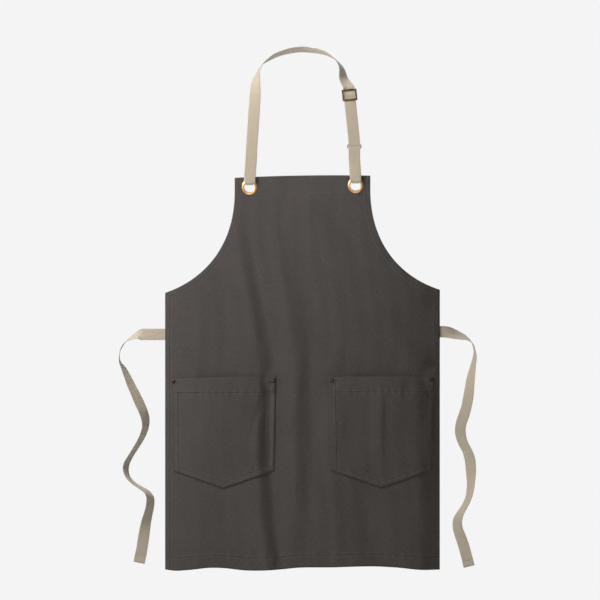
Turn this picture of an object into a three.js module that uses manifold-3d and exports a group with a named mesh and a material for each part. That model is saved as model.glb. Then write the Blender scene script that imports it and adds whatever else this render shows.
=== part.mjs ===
// A bib apron in waxed cotton canvas, hanging by its adjustable neck strap.
// Millimetres, +Z up, the apron's front faces -Y. The origin is the highest inner point of the neck
// strap, where whatever holds the apron up carries it.
import * as THREE from "three";
import { mergeVertices } from "three/addons/utils/BufferGeometryUtils.js";
import Module from "manifold-3d";

const wasm = await Module();
wasm.setup();

// Apron panel
const PANEL_WIDTH = 600;
const PANEL_LENGTH = 857;
const BIB_WIDTH = 296;
const BIB_STRAIGHT = 30; // straight sides of the bib, above the armhole curve
const ARMHOLE_DROP = 250; // from the bib's top edge down to the armhole's lower corner
const LOOP_RISE = 271.5; // from the bib's top edge up to the origin
const APEX_BACK = 72; // from the panel's front face back to the neck strap's highest point
const CANVAS = 1;
const SIDE_SET_BACK = 24; // how far the side edges fall back behind the middle
const HANG_TILT = 0.016; // the neck strap is a little shorter on the wearer's left
const GAP = 0.4; // between layers that touch
const BACK_GAP = 0.7; // behind the panel, whose flat facets cut across its curve
const ARMHOLE_TAPE = 12; // width of the bias tape behind each armhole
const FACING = 43; // height of the facing behind the bib's top edge

// Patch pockets
const POCKET_WIDTH = 228;
const POCKET_SIDE = 204; // length of a pocket's straight sides
const POCKET_POINT = 39; // how far its middle reaches below its sides
const POCKET_DROP = 437; // from the bib's top edge down to the pocket's mouth
const POCKET_CENTRE = 172.5;
const POCKET_GAPE = 11; // how far the mouth stands off the panel
const RIVET_INSET = 6;
const RIVET_DROP = 8;
const RIVET_HEAD = 9; // diameter
const RIVET_POST = 3;

// Eyelets
const EYELET_INSET = 32.35; // from the bib's side in to an eyelet's centre
const EYELET_DROP = 20.5;
const EYELET_OUTER = 34;
const EYELET_HOLE = 22.8;
const EYELET_WALL = 1.1;
const EYELET_CROWN = 2; // how far the rolled rim stands off the canvas
const EYELET_FLARE = 1.3; // how far the barrel stands out behind the washer's seat

// Webbing
const WEB_WIDTH = 25;
const WEB = 1.3;
const EYELET_ROOM = 1.4; // beside the webbing where it is squeezed through an eyelet
const FOLD_RADIUS = 6.5; // the webbing's turn in an eyelet
const FOLD_LIFT = 4.6; // from an eyelet's centre up to the bottom of the turn
const TAIL = 66; // sewn tail behind the left strand, above the turn
const CLEAR = 0.3; // between webbing and metal

// Ring that joins the long strap to the short one
const RING_WIRE = 2; // its bars are square
const RING_ROOM = 1; // beside the webbing
const RING_SLACK = 0.6; // between the two folds of webbing inside it
const RING_RISE = 84.6; // from the right eyelet up to the ring

// Slider
const SLIDER_RAIL = 3.4; // width of its side rails
const SLIDER_HEIGHT = 25;
const SLIDER_BAR = 3.4; // height of its upper and lower bars
const SLIDER_METAL = 2;
const SLIDER_RISE = 113; // from the ring up to the slider
const END_LEGS = 16; // the legs of webbing sewn together below the slider's middle bar

// Waist ties
const TIE_DROP = 341.3; // from the bib's top edge down to the middle of a tie
const TIE_SEWN = 30; // length of a tie's sewn end
const TIE_HINGE_OUT = 2; // from the panel's edge out to where a tie bends
const TIE_HINGE_GAP = 0.8; // from that bend to the solid on either side

// Sizes that follow
const HALF = PANEL_WIDTH / 2;
const LAYER = WEB + CLEAR;
const EYELET_AT = BIB_WIDTH / 2 - EYELET_INSET;
const BARREL_REACH = CANVAS / 2 + BACK_GAP + CANVAS + GAP + EYELET_FLARE; // behind an eyelet's centre
const FOLD_TOP = FOLD_LIFT + FOLD_RADIUS - Math.sqrt(FOLD_RADIUS ** 2 - BARREL_REACH ** 2) + WEB / 2;
const WEB_IN_EYELET = 2 * (Math.sqrt((EYELET_HOLE / 2) ** 2 - FOLD_TOP ** 2) - EYELET_ROOM);
const SLIDER_WIDTH = WEB_WIDTH + 2 * (CLEAR + SLIDER_RAIL);
const BAR_TURN = RING_WIRE * Math.SQRT1_2 + CLEAR + WEB / 2; // radius of a fold round a ring's bar
const BAR_REACH = BAR_TURN + (WEB + RING_SLACK) / 2; // from the ring's centre to a bar's centre
const RING_WIDTH = WEB_WIDTH + 2 * (RING_ROOM + RING_WIRE);
const RING_HEIGHT = 2 * BAR_REACH + RING_WIRE;
const ACROSS = new THREE.Vector3(1, 0, 0);

const apron = new THREE.Group();

const canvas = () => new THREE.MeshStandardMaterial({ color: 0x4e4845, roughness: 0.85, metalness: 0 });
const cotton = () => new THREE.MeshStandardMaterial({ color: 0xbdae92, roughness: 0.9, metalness: 0 });
const brass = () => new THREE.MeshStandardMaterial({ color: 0xd7a55f, roughness: 0.3, metalness: 1 });
const antique = () => new THREE.MeshStandardMaterial({ color: 0x554127, roughness: 0.45, metalness: 1 });

function add(name, geometry, material) {
  const mesh = new THREE.Mesh(geometry, material);
  mesh.name = name;
  apron.add(mesh);
  return mesh;
}

// Where a point of the flat panel hangs: x across, drop down from the bib's top edge, and depth
// back from the canvas's front face.
function hang(x, drop, depth = 0) {
  const tilt = HANG_TILT * (1 - drop / PANEL_LENGTH);
  return new THREE.Vector3(x, SIDE_SET_BACK * (x / HALF) ** 4 + depth, tilt * x - LOOP_RISE - drop);
}

// Turns a piece of hardware square to the panel at x, and moves it to the given place.
function setOn(geometry, x, at) {
  const slope = (4 * SIDE_SET_BACK * x ** 3) / HALF ** 4;
  return geometry.rotateZ(Math.atan(slope)).translate(at.x, at.y, at.z);
}

function solidOf(geometry) {
  const bare = geometry.clone();
  bare.deleteAttribute("normal");
  bare.deleteAttribute("uv");
  const merged = mergeVertices(bare, 1e-4);
  return new wasm.Manifold(
    new wasm.Mesh({
      numProp: 3,
      vertProperties: new Float32Array(merged.attributes.position.array),
      triVerts: new Uint32Array(merged.index.array),
    }),
  );
}

function geometryOf(solid) {
  const mesh = solid.getMesh();
  const geometry = new THREE.BufferGeometry();
  geometry.setAttribute("position", new THREE.BufferAttribute(mesh.vertProperties, 3));
  geometry.setIndex(new THREE.BufferAttribute(mesh.triVerts, 1));
  const faceted = geometry.toNonIndexed();
  faceted.computeVertexNormals();
  return faceted;
}

function cut(geometry, cutters) {
  let solid = solidOf(geometry);
  for (const cutter of cutters) solid = solid.subtract(solidOf(cutter));
  return geometryOf(solid);
}

function join(pieces) {
  let solid = solidOf(pieces[0]);
  for (const piece of pieces.slice(1)) solid = solid.add(solidOf(piece));
  return geometryOf(solid);
}

// A sheet of cloth: a box whose columns and rows are laid where place(u, v) puts them, with u from
// -1 to 1 across and v from 0 to 1 down. place gives x, drop and the depth of the front face.
function sheet(columns, rows, thickness, place) {
  const geometry = new THREE.BoxGeometry(2, 1, 1, columns, 1, rows);
  const position = geometry.attributes.position;
  for (let i = 0; i < position.count; i++) {
    const spot = place(position.getX(i), 0.5 - position.getZ(i));
    const back = (position.getY(i) + 0.5) * thickness;
    const at = hang(spot.x, spot.drop, spot.depth + back);
    position.setXYZ(i, at.x, at.y, at.z);
  }
  geometry.computeVertexNormals();
  return geometry;
}

// A length of webbing: a box bent along its stations, each with a point, the direction across the
// webbing and its width there. Columns across it keep a twisted stretch as thick as a flat one.
const WEB_COLUMNS = 4;
function webbing(stations) {
  const steps = stations.length - 1;
  const geometry = new THREE.BoxGeometry(1, 1, 1, WEB_COLUMNS, 1, steps);
  const position = geometry.attributes.position;
  const frames = stations.map((station, i) => {
    const before = stations[Math.max(i - 1, 0)].at;
    const after = stations[Math.min(i + 1, steps)].at;
    const along = after.clone().sub(before).normalize();
    const across = station.across.clone().addScaledVector(along, -station.across.dot(along));
    across.normalize();
    return { across, face: along.clone().cross(across) };
  });
  for (let i = 0; i < position.count; i++) {
    const k = Math.round((position.getZ(i) + 0.5) * steps);
    const at = stations[k].at.clone();
    at.addScaledVector(frames[k].across, position.getX(i) * stations[k].width);
    at.addScaledVector(frames[k].face, position.getY(i) * WEB);
    position.setXYZ(i, at.x, at.y, at.z);
  }
  geometry.computeVertexNormals();
  return geometry;
}

function station(at, across = ACROSS, width = WEB_WIDTH) {
  return { at, across, width };
}

// Stations along a smooth curve through the given ones.
function smooth(marks, steps) {
  const curve = new THREE.CatmullRomCurve3(marks.map((mark) => mark.at), false, "centripetal");
  const last = marks.length - 1;
  const stations = [];
  for (let i = 0; i <= steps; i++) {
    const place = (i / steps) * last;
    const k = Math.min(Math.floor(place), last - 1);
    const across = marks[k].across.clone().lerp(marks[k + 1].across, place - k);
    stations.push(station(curve.getPoint(i / steps), across));
  }
  return stations;
}

// The webbing's turn round a bar that runs across it: a half circle in the YZ plane, from one side
// of the bar to the other, under it or over it.
function turn(centre, radius, fromFront, under, across, steps, widthAt = () => WEB_WIDTH) {
  const stations = [];
  for (let i = 0; i <= steps; i++) {
    const angle = (Math.PI * i) / steps;
    const back = (fromFront ? -1 : 1) * Math.cos(angle) * radius;
    const up = (under ? -1 : 1) * Math.sin(angle) * radius;
    const at = centre.clone().add(new THREE.Vector3(0, back, up));
    stations.push(station(at, across, widthAt(back)));
  }
  return stations;
}

// ---- Panel -----------------------------------------------------------------------------------

const armhole = new THREE.CubicBezierCurve(
  new THREE.Vector2(BIB_WIDTH / 2, BIB_STRAIGHT),
  new THREE.Vector2(BIB_WIDTH / 2, BIB_STRAIGHT + 0.545 * (ARMHOLE_DROP - BIB_STRAIGHT)),
  new THREE.Vector2(
    BIB_WIDTH / 2 + 0.44 * (HALF - BIB_WIDTH / 2),
    BIB_STRAIGHT + 0.873 * (ARMHOLE_DROP - BIB_STRAIGHT),
  ),
  new THREE.Vector2(HALF, ARMHOLE_DROP),
);
const SKIRT_ROWS = 7;
const ARMHOLE_ROWS = 12;
const edge = [new THREE.Vector2(BIB_WIDTH / 2, 0), ...armhole.getPoints(ARMHOLE_ROWS)];
for (let i = 1; i <= SKIRT_ROWS; i++) {
  edge.push(new THREE.Vector2(HALF, ARMHOLE_DROP + (i / SKIRT_ROWS) * (PANEL_LENGTH - ARMHOLE_DROP)));
}

const eyelets = [-1, 1].map((side) => hang(side * EYELET_AT, EYELET_DROP, CANVAS / 2));
const rivets = [];
for (const side of [-1, 1]) {
  for (const corner of [-1, 1]) {
    const x = side * POCKET_CENTRE + corner * (POCKET_WIDTH / 2 - RIVET_INSET);
    const name = (side < 0 ? "left" : "right") + (side * corner < 0 ? "_inner" : "_outer");
    rivets.push({ name, x, drop: POCKET_DROP + RIVET_DROP });
  }
}

const BORE_SIDES = 28;
const POST_SIDES = 10;
const CUT_LENGTH = 40; // of the cylinders that cut the holes
const holes = eyelets.map((at) => {
  const radius = EYELET_HOLE / 2 + EYELET_WALL + CLEAR;
  return setOn(new THREE.CylinderGeometry(radius, radius, CUT_LENGTH, BORE_SIDES), at.x, at);
});
const postHoles = rivets.map(({ x, drop }) => {
  const radius = RIVET_POST / 2 + CLEAR;
  const post = new THREE.CylinderGeometry(radius, radius, CUT_LENGTH, POST_SIDES);
  return setOn(post, x, hang(x, drop));
});

// The columns lie closer together towards the sides, where the panel curves.
const panel = sheet(20, edge.length - 1, CANVAS, (u, v) => {
  const { x, y } = edge[Math.round(v * (edge.length - 1))];
  return { x: Math.sin((u * Math.PI) / 2) * x, drop: y, depth: 0 };
});
add("apron_panel", cut(panel, [...holes, ...postHoles]), canvas());

// The facing is sewn behind the bib's top edge, and the bias tapes run down from it behind the
// armholes.
const FACING_INSET = 2;
const facing = sheet(10, 2, CANVAS, (u, v) => ({
  x: u * (BIB_WIDTH / 2 - FACING_INSET),
  drop: FACING_INSET + v * (FACING - FACING_INSET),
  depth: CANVAS + BACK_GAP,
}));
add("bib_facing", cut(facing, holes), canvas());

for (const side of [-1, 1]) {
  const steps = 14;
  const startDrop = FACING + 3;
  const tape = sheet(steps, 1, CANVAS * 0.6, (u, v) => {
    const t = armholeParameter(startDrop) * (1 - (u + 1) / 2) + (0.985 * (u + 1)) / 2;
    const at = armhole.getPoint(t);
    const along = armhole.getTangent(t);
    const inward = new THREE.Vector2(-along.y, along.x);
    const width = FACING_INSET + (side > 0 ? v : 1 - v) * ARMHOLE_TAPE;
    at.addScaledVector(inward, width);
    return { x: side * at.x, drop: at.y, depth: CANVAS + BACK_GAP };
  });
  add((side < 0 ? "left" : "right") + "_armhole_tape", tape, canvas());
}

// Where on the armhole curve a given drop lies.
function armholeParameter(drop) {
  let low = 0;
  let high = 1;
  for (let i = 0; i < 40; i++) {
    const middle = (low + high) / 2;
    if (armhole.getPoint(middle).y < drop) low = middle;
    else high = middle;
  }
  return low;
}

// ---- Pockets ---------------------------------------------------------------------------------

for (const side of [-1, 1]) {
  const pocket = sheet(12, 8, CANVAS, (u, v) => {
    const gape = POCKET_GAPE * (1 - u * u) ** 2 * (1 - v ** 3);
    return {
      x: side * POCKET_CENTRE + (u * POCKET_WIDTH) / 2,
      drop: POCKET_DROP + v * (POCKET_SIDE + POCKET_POINT * (1 - Math.abs(u))),
      depth: -GAP - CANVAS - gape,
    };
  });
  add((side < 0 ? "left" : "right") + "_pocket", cut(pocket, postHoles), canvas());
}

// ---- Rivets ----------------------------------------------------------------------------------

// A profile, given as radius and distance back from the canvas, turned round an axis that runs
// front to back.
function turned(profile, sides) {
  const points = profile.map(([radius, back]) => new THREE.Vector2(radius, back));
  return new THREE.LatheGeometry(points, sides);
}

const POCKET_FRONT = -GAP - CANVAS;
for (const { name, x, drop } of rivets) {
  const at = hang(x, drop);
  const seat = POCKET_FRONT - GAP - 0.2;
  const tip = CANVAS + BACK_GAP + 1.2;
  const head = RIVET_HEAD / 2;
  const post = RIVET_POST / 2;
  const cap = turned(
    [[0, seat - 1.6], [head * 0.6, seat - 1.3], [head, seat - 0.5], [head, seat], [post, seat],
     [post, tip], [0, tip]],
    14,
  );
  add(name + "_rivet_cap", setOn(cap, x, at), antique());
  const washer = CANVAS + BACK_GAP;
  const inner = post + CLEAR;
  const back = turned(
    [[inner, washer], [head, washer], [head, washer + 0.5], [inner + 0.8, washer + 1.1],
     [inner, washer + 1.1], [inner, washer]],
    14,
  );
  add(name + "_rivet_back", setOn(back, x, at), antique());
}

// ---- Eyelets ---------------------------------------------------------------------------------

eyelets.forEach((at, i) => {
  const name = i === 0 ? "left" : "right";
  const hole = EYELET_HOLE / 2;
  const barrel = hole + EYELET_WALL;
  const outer = EYELET_OUTER / 2;
  const front = -CANVAS / 2 - GAP;
  const rear = CANVAS / 2 + BACK_GAP + CANVAS + GAP;
  const rim = turned(
    [[hole, front - 0.7], [hole + 1.2, front - EYELET_CROWN], [outer - 2, front - EYELET_CROWN],
     [outer, front - 0.6], [outer, front], [barrel, front], [barrel, rear + EYELET_FLARE],
     [hole, rear + EYELET_FLARE], [hole, front - 0.7]],
    BORE_SIDES,
  );
  add(name + "_eyelet", setOn(rim, at.x, at), brass());
  const bore = barrel + CLEAR;
  const ring = turned(
    [[bore, rear], [outer - 1, rear], [outer - 1, rear + 0.5], [bore + 1, rear + 1.2],
     [bore, rear + 1.2], [bore, rear]],
    BORE_SIDES,
  );
  add(name + "_eyelet_washer", setOn(ring, at.x, at), brass());
});

// ---- Neck strap ------------------------------------------------------------------------------

// The turn through an eyelet, squeezed where it is inside the barrel.
function eyeletTurn(at, fromFront, across) {
  const centre = at.clone().add(new THREE.Vector3(0, 0, FOLD_LIFT + FOLD_RADIUS));
  const squeeze = (back) => (Math.abs(back) < FOLD_RADIUS * 0.85 ? WEB_IN_EYELET : WEB_WIDTH);
  return turn(centre, FOLD_RADIUS, fromFront, true, across, 14, squeeze);
}

const vector = (x, y, z) => new THREE.Vector3(x, y, z);
const [leftEyelet, rightEyelet] = eyelets;
const MEET = 62; // from an eyelet up to where the strands on either side of the panel meet
const LEFT_LEAN = 0.076;
const RIGHT_LEAN = -0.03;

// The open strands of the teardrop above an eyelet, from the turn up to where they meet, leaning
// sideways as the strap above them does.
function strand(at, side, across, lean) {
  const start = FOLD_LIFT + FOLD_RADIUS;
  const part = 15;
  return [
    station(at.clone().add(vector(0, side * FOLD_RADIUS, start)), across),
    station(at.clone().add(vector(part * lean, side * (FOLD_RADIUS - 1), start + part)), across),
    station(at.clone().add(vector((MEET - start) * lean, (side * LAYER) / 2, MEET)), across),
  ];
}

// Ring and slider places, from the right eyelet up.
const ringCentre = rightEyelet.clone().add(vector(-2.5, 0, RING_RISE));
const upperBar = ringCentre.clone().add(vector(0, 0, BAR_REACH));
const lowerBar = ringCentre.clone().add(vector(0, 0, -BAR_REACH));
const slideFoot = upperBar.clone().add(vector(-0.6, -BAR_TURN, 10)); // where the straight run starts
const slideUp = vector(-0.1, 0.055, 1).normalize();
const sliderAt = slideFoot.clone().addScaledVector(slideUp, SLIDER_RISE - BAR_REACH - 10);
const DOWN_ACROSS = vector(-1, 0, 0); // across the webbing on the right, where it runs down

const tailLean = (TAIL - FOLD_RADIUS) * LEFT_LEAN;
const tailTop = leftEyelet.clone().add(vector(tailLean, LAYER / 2, FOLD_LIFT + TAIL));
const leftTail = [station(tailTop), ...strand(leftEyelet, 1, ACROSS, LEFT_LEAN).reverse()];
const leftFront = strand(leftEyelet, -1, ACROSS, LEFT_LEAN);

// The arch of the strap: from the left strand over the neck and down to the slider.
const arch = [
  leftFront[2],
  station(vector(-110.8, 0.8, -208), ACROSS),
  station(vector(-107, 4, -152), ACROSS),
  station(vector(-103.2, 10, -92), vector(0.97, -0.26, 0)),
  station(vector(-101.6, 16, -61), vector(0.67, -0.74, 0)),
  station(vector(-97, 24, -42), vector(0.22, -0.97, 0)),
  station(vector(-86, 36, -24), vector(0, -1, 0)),
  station(vector(-67, 50, -10), vector(0, -0.95, 0.31)),
  station(vector(-47, 61, -1), vector(0, -0.93, 0.36)),
  station(vector(-25, 69, 5.2), vector(0, -0.89, 0.45)),
  station(vector(0, 72, 7.8), vector(0, -0.88, 0.47)),
  station(vector(23, 68.5, 5.7), vector(0, -0.91, 0.41)),
  station(vector(40, 62, 2.5), vector(0, -0.94, 0.34)),
  station(vector(57, 53, -4.2), vector(0, -0.98, 0.2)),
  station(vector(71.5, 42, -14.4), vector(0, -1, 0)),
  station(vector(80.6, 33, -24.6), vector(-0.23, -0.97, 0)),
  station(vector(86.4, 26, -36), vector(-0.44, -0.9, 0)),
  station(vector(90.2, 18, -57), vector(-0.78, -0.62, 0)),
];
const slideTop = sliderAt.clone().addScaledVector(slideUp, SLIDER_HEIGHT / 2 + 4);
arch.push(station(slideTop, DOWN_ACROSS));

const neckStrap = [
  ...smooth(leftTail, 12),
  ...eyeletTurn(leftEyelet, false, ACROSS).slice(1),
  ...smooth(leftFront, 6).slice(1),
  ...smooth(arch, 72).slice(1),
  station(slideFoot, DOWN_ACROSS),
  ...turn(upperBar, BAR_TURN, true, true, DOWN_ACROSS, 8),
];
add("neck_strap", webbing(neckStrap), cotton());

// The short strap: up from the right eyelet, over the ring's lower bar and down behind itself,
// where its two ends are sewn.
const SEAM = 22;
const overlapFoot = lowerBar.z - SEAM;
const shortFront = strand(rightEyelet, -1, ACROSS, RIGHT_LEAN);
const shortBack = strand(rightEyelet, 1, ACROSS, RIGHT_LEAN);
const shortTop = lowerBar.clone().add(vector(0, -BAR_TURN, 0));
const shortStrap = [
  ...smooth([
    station(vector(lowerBar.x, lowerBar.y + LAYER / 2 + LAYER, overlapFoot + 12)),
    station(vector(lowerBar.x, lowerBar.y + LAYER / 2 + LAYER, overlapFoot)),
    shortBack[1],
    shortBack[0],
  ], 12),
  ...eyeletTurn(rightEyelet, false, ACROSS).slice(1),
  ...smooth([
    shortFront[0],
    shortFront[1],
    station(vector(lowerBar.x, lowerBar.y - LAYER / 2, overlapFoot)),
    station(vector(lowerBar.x, lowerBar.y - LAYER / 2, overlapFoot + 12)),
    station(shortTop),
  ], 16).slice(1),
  ...turn(lowerBar, BAR_TURN, true, false, ACROSS, 8).slice(1),
  station(vector(lowerBar.x, lowerBar.y + LAYER / 2, overlapFoot + 10)),
];
add("short_strap", webbing(shortStrap), cotton());

// A rectangle with round corners, centred on the origin.
function roundedRectangle(target, width, height, radius) {
  const x = width / 2;
  const y = height / 2;
  target.moveTo(radius - x, -y);
  target.lineTo(x - radius, -y);
  target.absarc(x - radius, radius - y, radius, -Math.PI / 2, 0);
  target.lineTo(x, y - radius);
  target.absarc(x - radius, y - radius, radius, 0, Math.PI / 2);
  target.lineTo(radius - x, y);
  target.absarc(radius - x, y - radius, radius, Math.PI / 2, Math.PI);
  target.lineTo(-x, radius - y);
  target.absarc(radius - x, radius - y, radius, Math.PI, Math.PI * 1.5);
  return target;
}

const ringShape = roundedRectangle(new THREE.Shape(), RING_WIDTH, RING_HEIGHT, 2);
ringShape.holes.push(
  roundedRectangle(new THREE.Path(), RING_WIDTH - 2 * RING_WIRE, RING_HEIGHT - 2 * RING_WIRE, 0.8),
);
const ring = new THREE.ExtrudeGeometry(ringShape, {
  depth: RING_WIRE, bevelEnabled: false, curveSegments: 4,
});
ring.translate(0, 0, -RING_WIRE / 2);
ring.rotateX(Math.PI / 2);
ring.translate(ringCentre.x, ringCentre.y, ringCentre.z);
add("strap_ring", ring, antique());

// ---- Slider ----------------------------------------------------------------------------------

// Its own frame: z up the strap, y back, with the strap's middle at the origin. The strap runs
// behind the upper and lower bars and in front of the middle bar.
const slider = new THREE.Group();
const sliderBack = vector(0, 1, 0).addScaledVector(slideUp, -slideUp.y).normalize();
const sliderBasis = new THREE.Matrix4().makeBasis(
  sliderBack.clone().cross(slideUp), sliderBack, slideUp,
);
slider.quaternion.setFromRotationMatrix(sliderBasis);
slider.position.copy(sliderAt);
apron.add(slider);

const barFront = -WEB / 2 - CLEAR - SLIDER_METAL;
const endTurn = SLIDER_METAL * Math.SQRT1_2 + CLEAR + WEB / 2;
const middleAt = LAYER + endTurn;
const middleBack = middleAt + SLIDER_METAL / 2;
const pieces = [];
for (const side of [-1, 1]) {
  const bar = new THREE.BoxGeometry(SLIDER_WIDTH, SLIDER_METAL, SLIDER_BAR);
  pieces.push(bar.translate(0, barFront + SLIDER_METAL / 2, (side * (SLIDER_HEIGHT - SLIDER_BAR)) / 2));
  const top = SLIDER_HEIGHT / 2;
  const rail = new THREE.Shape([
    new THREE.Vector2(barFront, -top),
    new THREE.Vector2(barFront + SLIDER_METAL, -top),
    new THREE.Vector2(middleBack, -SLIDER_BAR),
    new THREE.Vector2(middleBack, SLIDER_BAR),
    new THREE.Vector2(barFront + SLIDER_METAL, top),
    new THREE.Vector2(barFront, top),
  ]);
  const plate = new THREE.ExtrudeGeometry(rail, { depth: SLIDER_RAIL, bevelEnabled: false });
  plate.applyMatrix4(new THREE.Matrix4().makeBasis(vector(0, 1, 0), vector(0, 0, 1), vector(1, 0, 0)));
  pieces.push(plate.translate(side > 0 ? SLIDER_WIDTH / 2 - SLIDER_RAIL : -SLIDER_WIDTH / 2, 0, 0));
}
const middle = new THREE.BoxGeometry(SLIDER_WIDTH - SLIDER_RAIL, SLIDER_METAL, SLIDER_METAL);
pieces.push(middle.translate(0, middleAt, 0));
const sliderMesh = new THREE.Mesh(join(pieces), antique());
sliderMesh.name = "strap_slider";
slider.add(sliderMesh);

// The strap's end, folded over the slider's middle bar and sewn to itself below it.
const endFront = LAYER;
const endLoop = [
  station(vector(0, endFront + LAYER, -END_LEGS)),
  station(vector(0, endFront + LAYER, -END_LEGS + 5)),
  ...turn(vector(0, middleAt, 0), endTurn, false, false, ACROSS, 10),
  station(vector(0, endFront, -END_LEGS)),
];
const endMesh = new THREE.Mesh(webbing(endLoop), cotton());
endMesh.name = "strap_end_loop";
slider.add(endMesh);

// The strap's return run, from the ring up behind itself to the slider.
slider.updateMatrixWorld(true);
const returnTop = slider.localToWorld(vector(0, endFront + LAYER, -END_LEGS - 2 * CLEAR));
const returnFoot = upperBar.clone().add(vector(0, BAR_TURN, 3 * CLEAR));
const returnRun = [
  station(returnFoot, DOWN_ACROSS),
  station(returnFoot.clone().add(vector(-0.6, 0, 10)), DOWN_ACROSS),
  station(returnTop, DOWN_ACROSS),
];
add("strap_return", webbing(smooth(returnRun, 8)), cotton());

// ---- Waist ties ------------------------------------------------------------------------------

// The middle of each tie from its bend outwards: distance out from the panel's side edge, back from
// that edge, down from the tie's sewn end, then the direction across the webbing as outward, back
// and up.
const TIE_ROUTES = {
  left: [
    [30, 3, 0, 0, 0, 1], [50, 6, 0, 0, 0.15, 0.98], [59, 8, 1, -0.1, 0.6, 0.75],
    [68, 10, 5, -0.2, 0.85, 0.5], [78, 12, 10, -0.2, 0.94, 0.3], [87, 13, 17, -0.15, 0.98, 0.15],
    [93.5, 13, 25, -0.1, 0.99, 0.05], [98.5, 12, 36, 0, 1, 0], [100, 10, 50, 0, 1, 0],
    [98, 7, 60, -0.1, 0.99, 0], [92, 3, 71, -0.4, 0.92, 0], [84, -1, 88, -0.58, 0.81, 0],
    [75, -4, 109, -0.72, 0.69, 0], [65, -5, 130, -0.78, 0.62, 0], [56, -4, 150, -0.83, 0.56, 0],
    [48, -2, 168, -0.77, 0.64, 0], [43, 2, 185, -0.68, 0.73, 0], [43, 6, 202, -0.58, 0.81, 0],
    [50, 10, 223, -0.54, 0.84, 0], [63, 13, 246, -0.48, 0.88, 0], [76, 13, 267, -0.44, 0.9, 0],
    [84, 9, 283, -0.48, 0.88, 0], [86, 4, 296, -0.46, 0.89, 0], [82, -2, 310, -0.38, 0.92, 0.05],
    [71, -6, 323, -0.28, 0.95, 0.1], [55, -7, 334, -0.3, 0.95, 0.1], [41, -4, 344, -0.42, 0.9, 0.05],
    [33, 0, 358, -0.66, 0.75, 0], [33, 4, 373, -0.72, 0.7, 0], [37, 7, 392, -0.76, 0.65, 0],
    [42, 7, 412, -0.86, 0.5, 0], [47, 5, 443, -0.97, 0.24, 0], [51, 3, 469, -0.98, 0.2, 0],
    [57, 2, 499, -1, 0, 0],
  ],
  right: [
    [10, 1.2, 0, 0, 0, 1], [20, 2.5, 1.5, 0, 0.2, 0.98], [32, 5, 5, 0, 0.5, 0.87],
    [46, 9, 9, -0.1, 0.75, 0.66],
    [57, 12, 13, -0.15, 0.88, 0.45], [67, 14, 20, -0.15, 0.95, 0.25], [73, 15, 29, -0.1, 0.99, 0.1],
    [76, 14, 41, -0.1, 0.99, 0], [76, 11, 56, -0.31, 0.95, 0], [72, 6, 77, -0.47, 0.88, 0],
    [68, 1, 98, -0.68, 0.73, 0], [65, -3, 120, -0.79, 0.61, 0], [62, -5, 143, -0.9, 0.44, 0],
    [58, -5, 164, -0.9, 0.44, 0], [52, -3, 184, -0.93, 0.36, 0], [46, 1, 203, -0.92, 0.4, 0],
    [45, 5, 221, -0.94, 0.34, 0], [50, 8, 241, -0.87, 0.49, 0], [60, 9, 261, -0.84, 0.54, 0],
    [66, 7, 280, -0.92, 0.39, 0], [68, 3, 304, -0.88, 0.47, 0], [68, -2, 327, -0.69, 0.72, 0],
    [66, -6, 347, -0.61, 0.79, 0], [62, -8, 364, -0.56, 0.83, 0], [54, -7, 381, -0.55, 0.84, 0],
    [45, -4, 397, -0.6, 0.8, 0], [39, 1, 413, -0.77, 0.64, 0], [39, 5, 428, -0.86, 0.51, 0],
    [45, 7, 447, -0.94, 0.34, 0], [52, 6, 467, -0.95, 0.3, 0], [58, 4, 489, -0.95, 0.3, 0],
    [64, 3, 513, -0.98, 0.2, 0],
  ],
};
const TIE_STEPS = 78;

for (const side of [-1, 1]) {
  const name = side < 0 ? "left" : "right";
  const depth = CANVAS + BACK_GAP;
  const sewn = sheet(3, 2, WEB, (u, v) => ({
    x: side * (HALF + TIE_HINGE_OUT - TIE_HINGE_GAP - ((1 - side * u) / 2) * TIE_SEWN),
    drop: TIE_DROP + (v - 0.5) * WEB_WIDTH,
    depth,
  }));
  add(name + "_tie_end", sewn, cotton());
  const edgeAt = hang(side * HALF, TIE_DROP, depth + WEB / 2);
  const bend = edgeAt.clone().add(vector(side * (TIE_HINGE_OUT + TIE_HINGE_GAP), 0.5, 0));
  const marks = TIE_ROUTES[name].map(([out, back, down, acrossOut, acrossBack, acrossUp]) =>
    station(
      edgeAt.clone().add(vector(side * out, back, -down)),
      vector(side * acrossOut, acrossBack, acrossUp),
    ),
  );
  const tie = smooth([station(bend, vector(0, 0, 1)), ...marks], TIE_STEPS);
  add(name + "_tie", webbing(tie), cotton());
}

// Everything above is set out from the panel's front face; the origin is under the strap's top.
apron.position.y = -APEX_BACK;

export default apron;
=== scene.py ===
import math

import bmesh
import bpy
import numpy as np
from bpy.props import FloatProperty, FloatVectorProperty, PointerProperty
from bpy.types import Operator, Panel, PropertyGroup
from mathutils import Matrix, Vector


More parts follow.
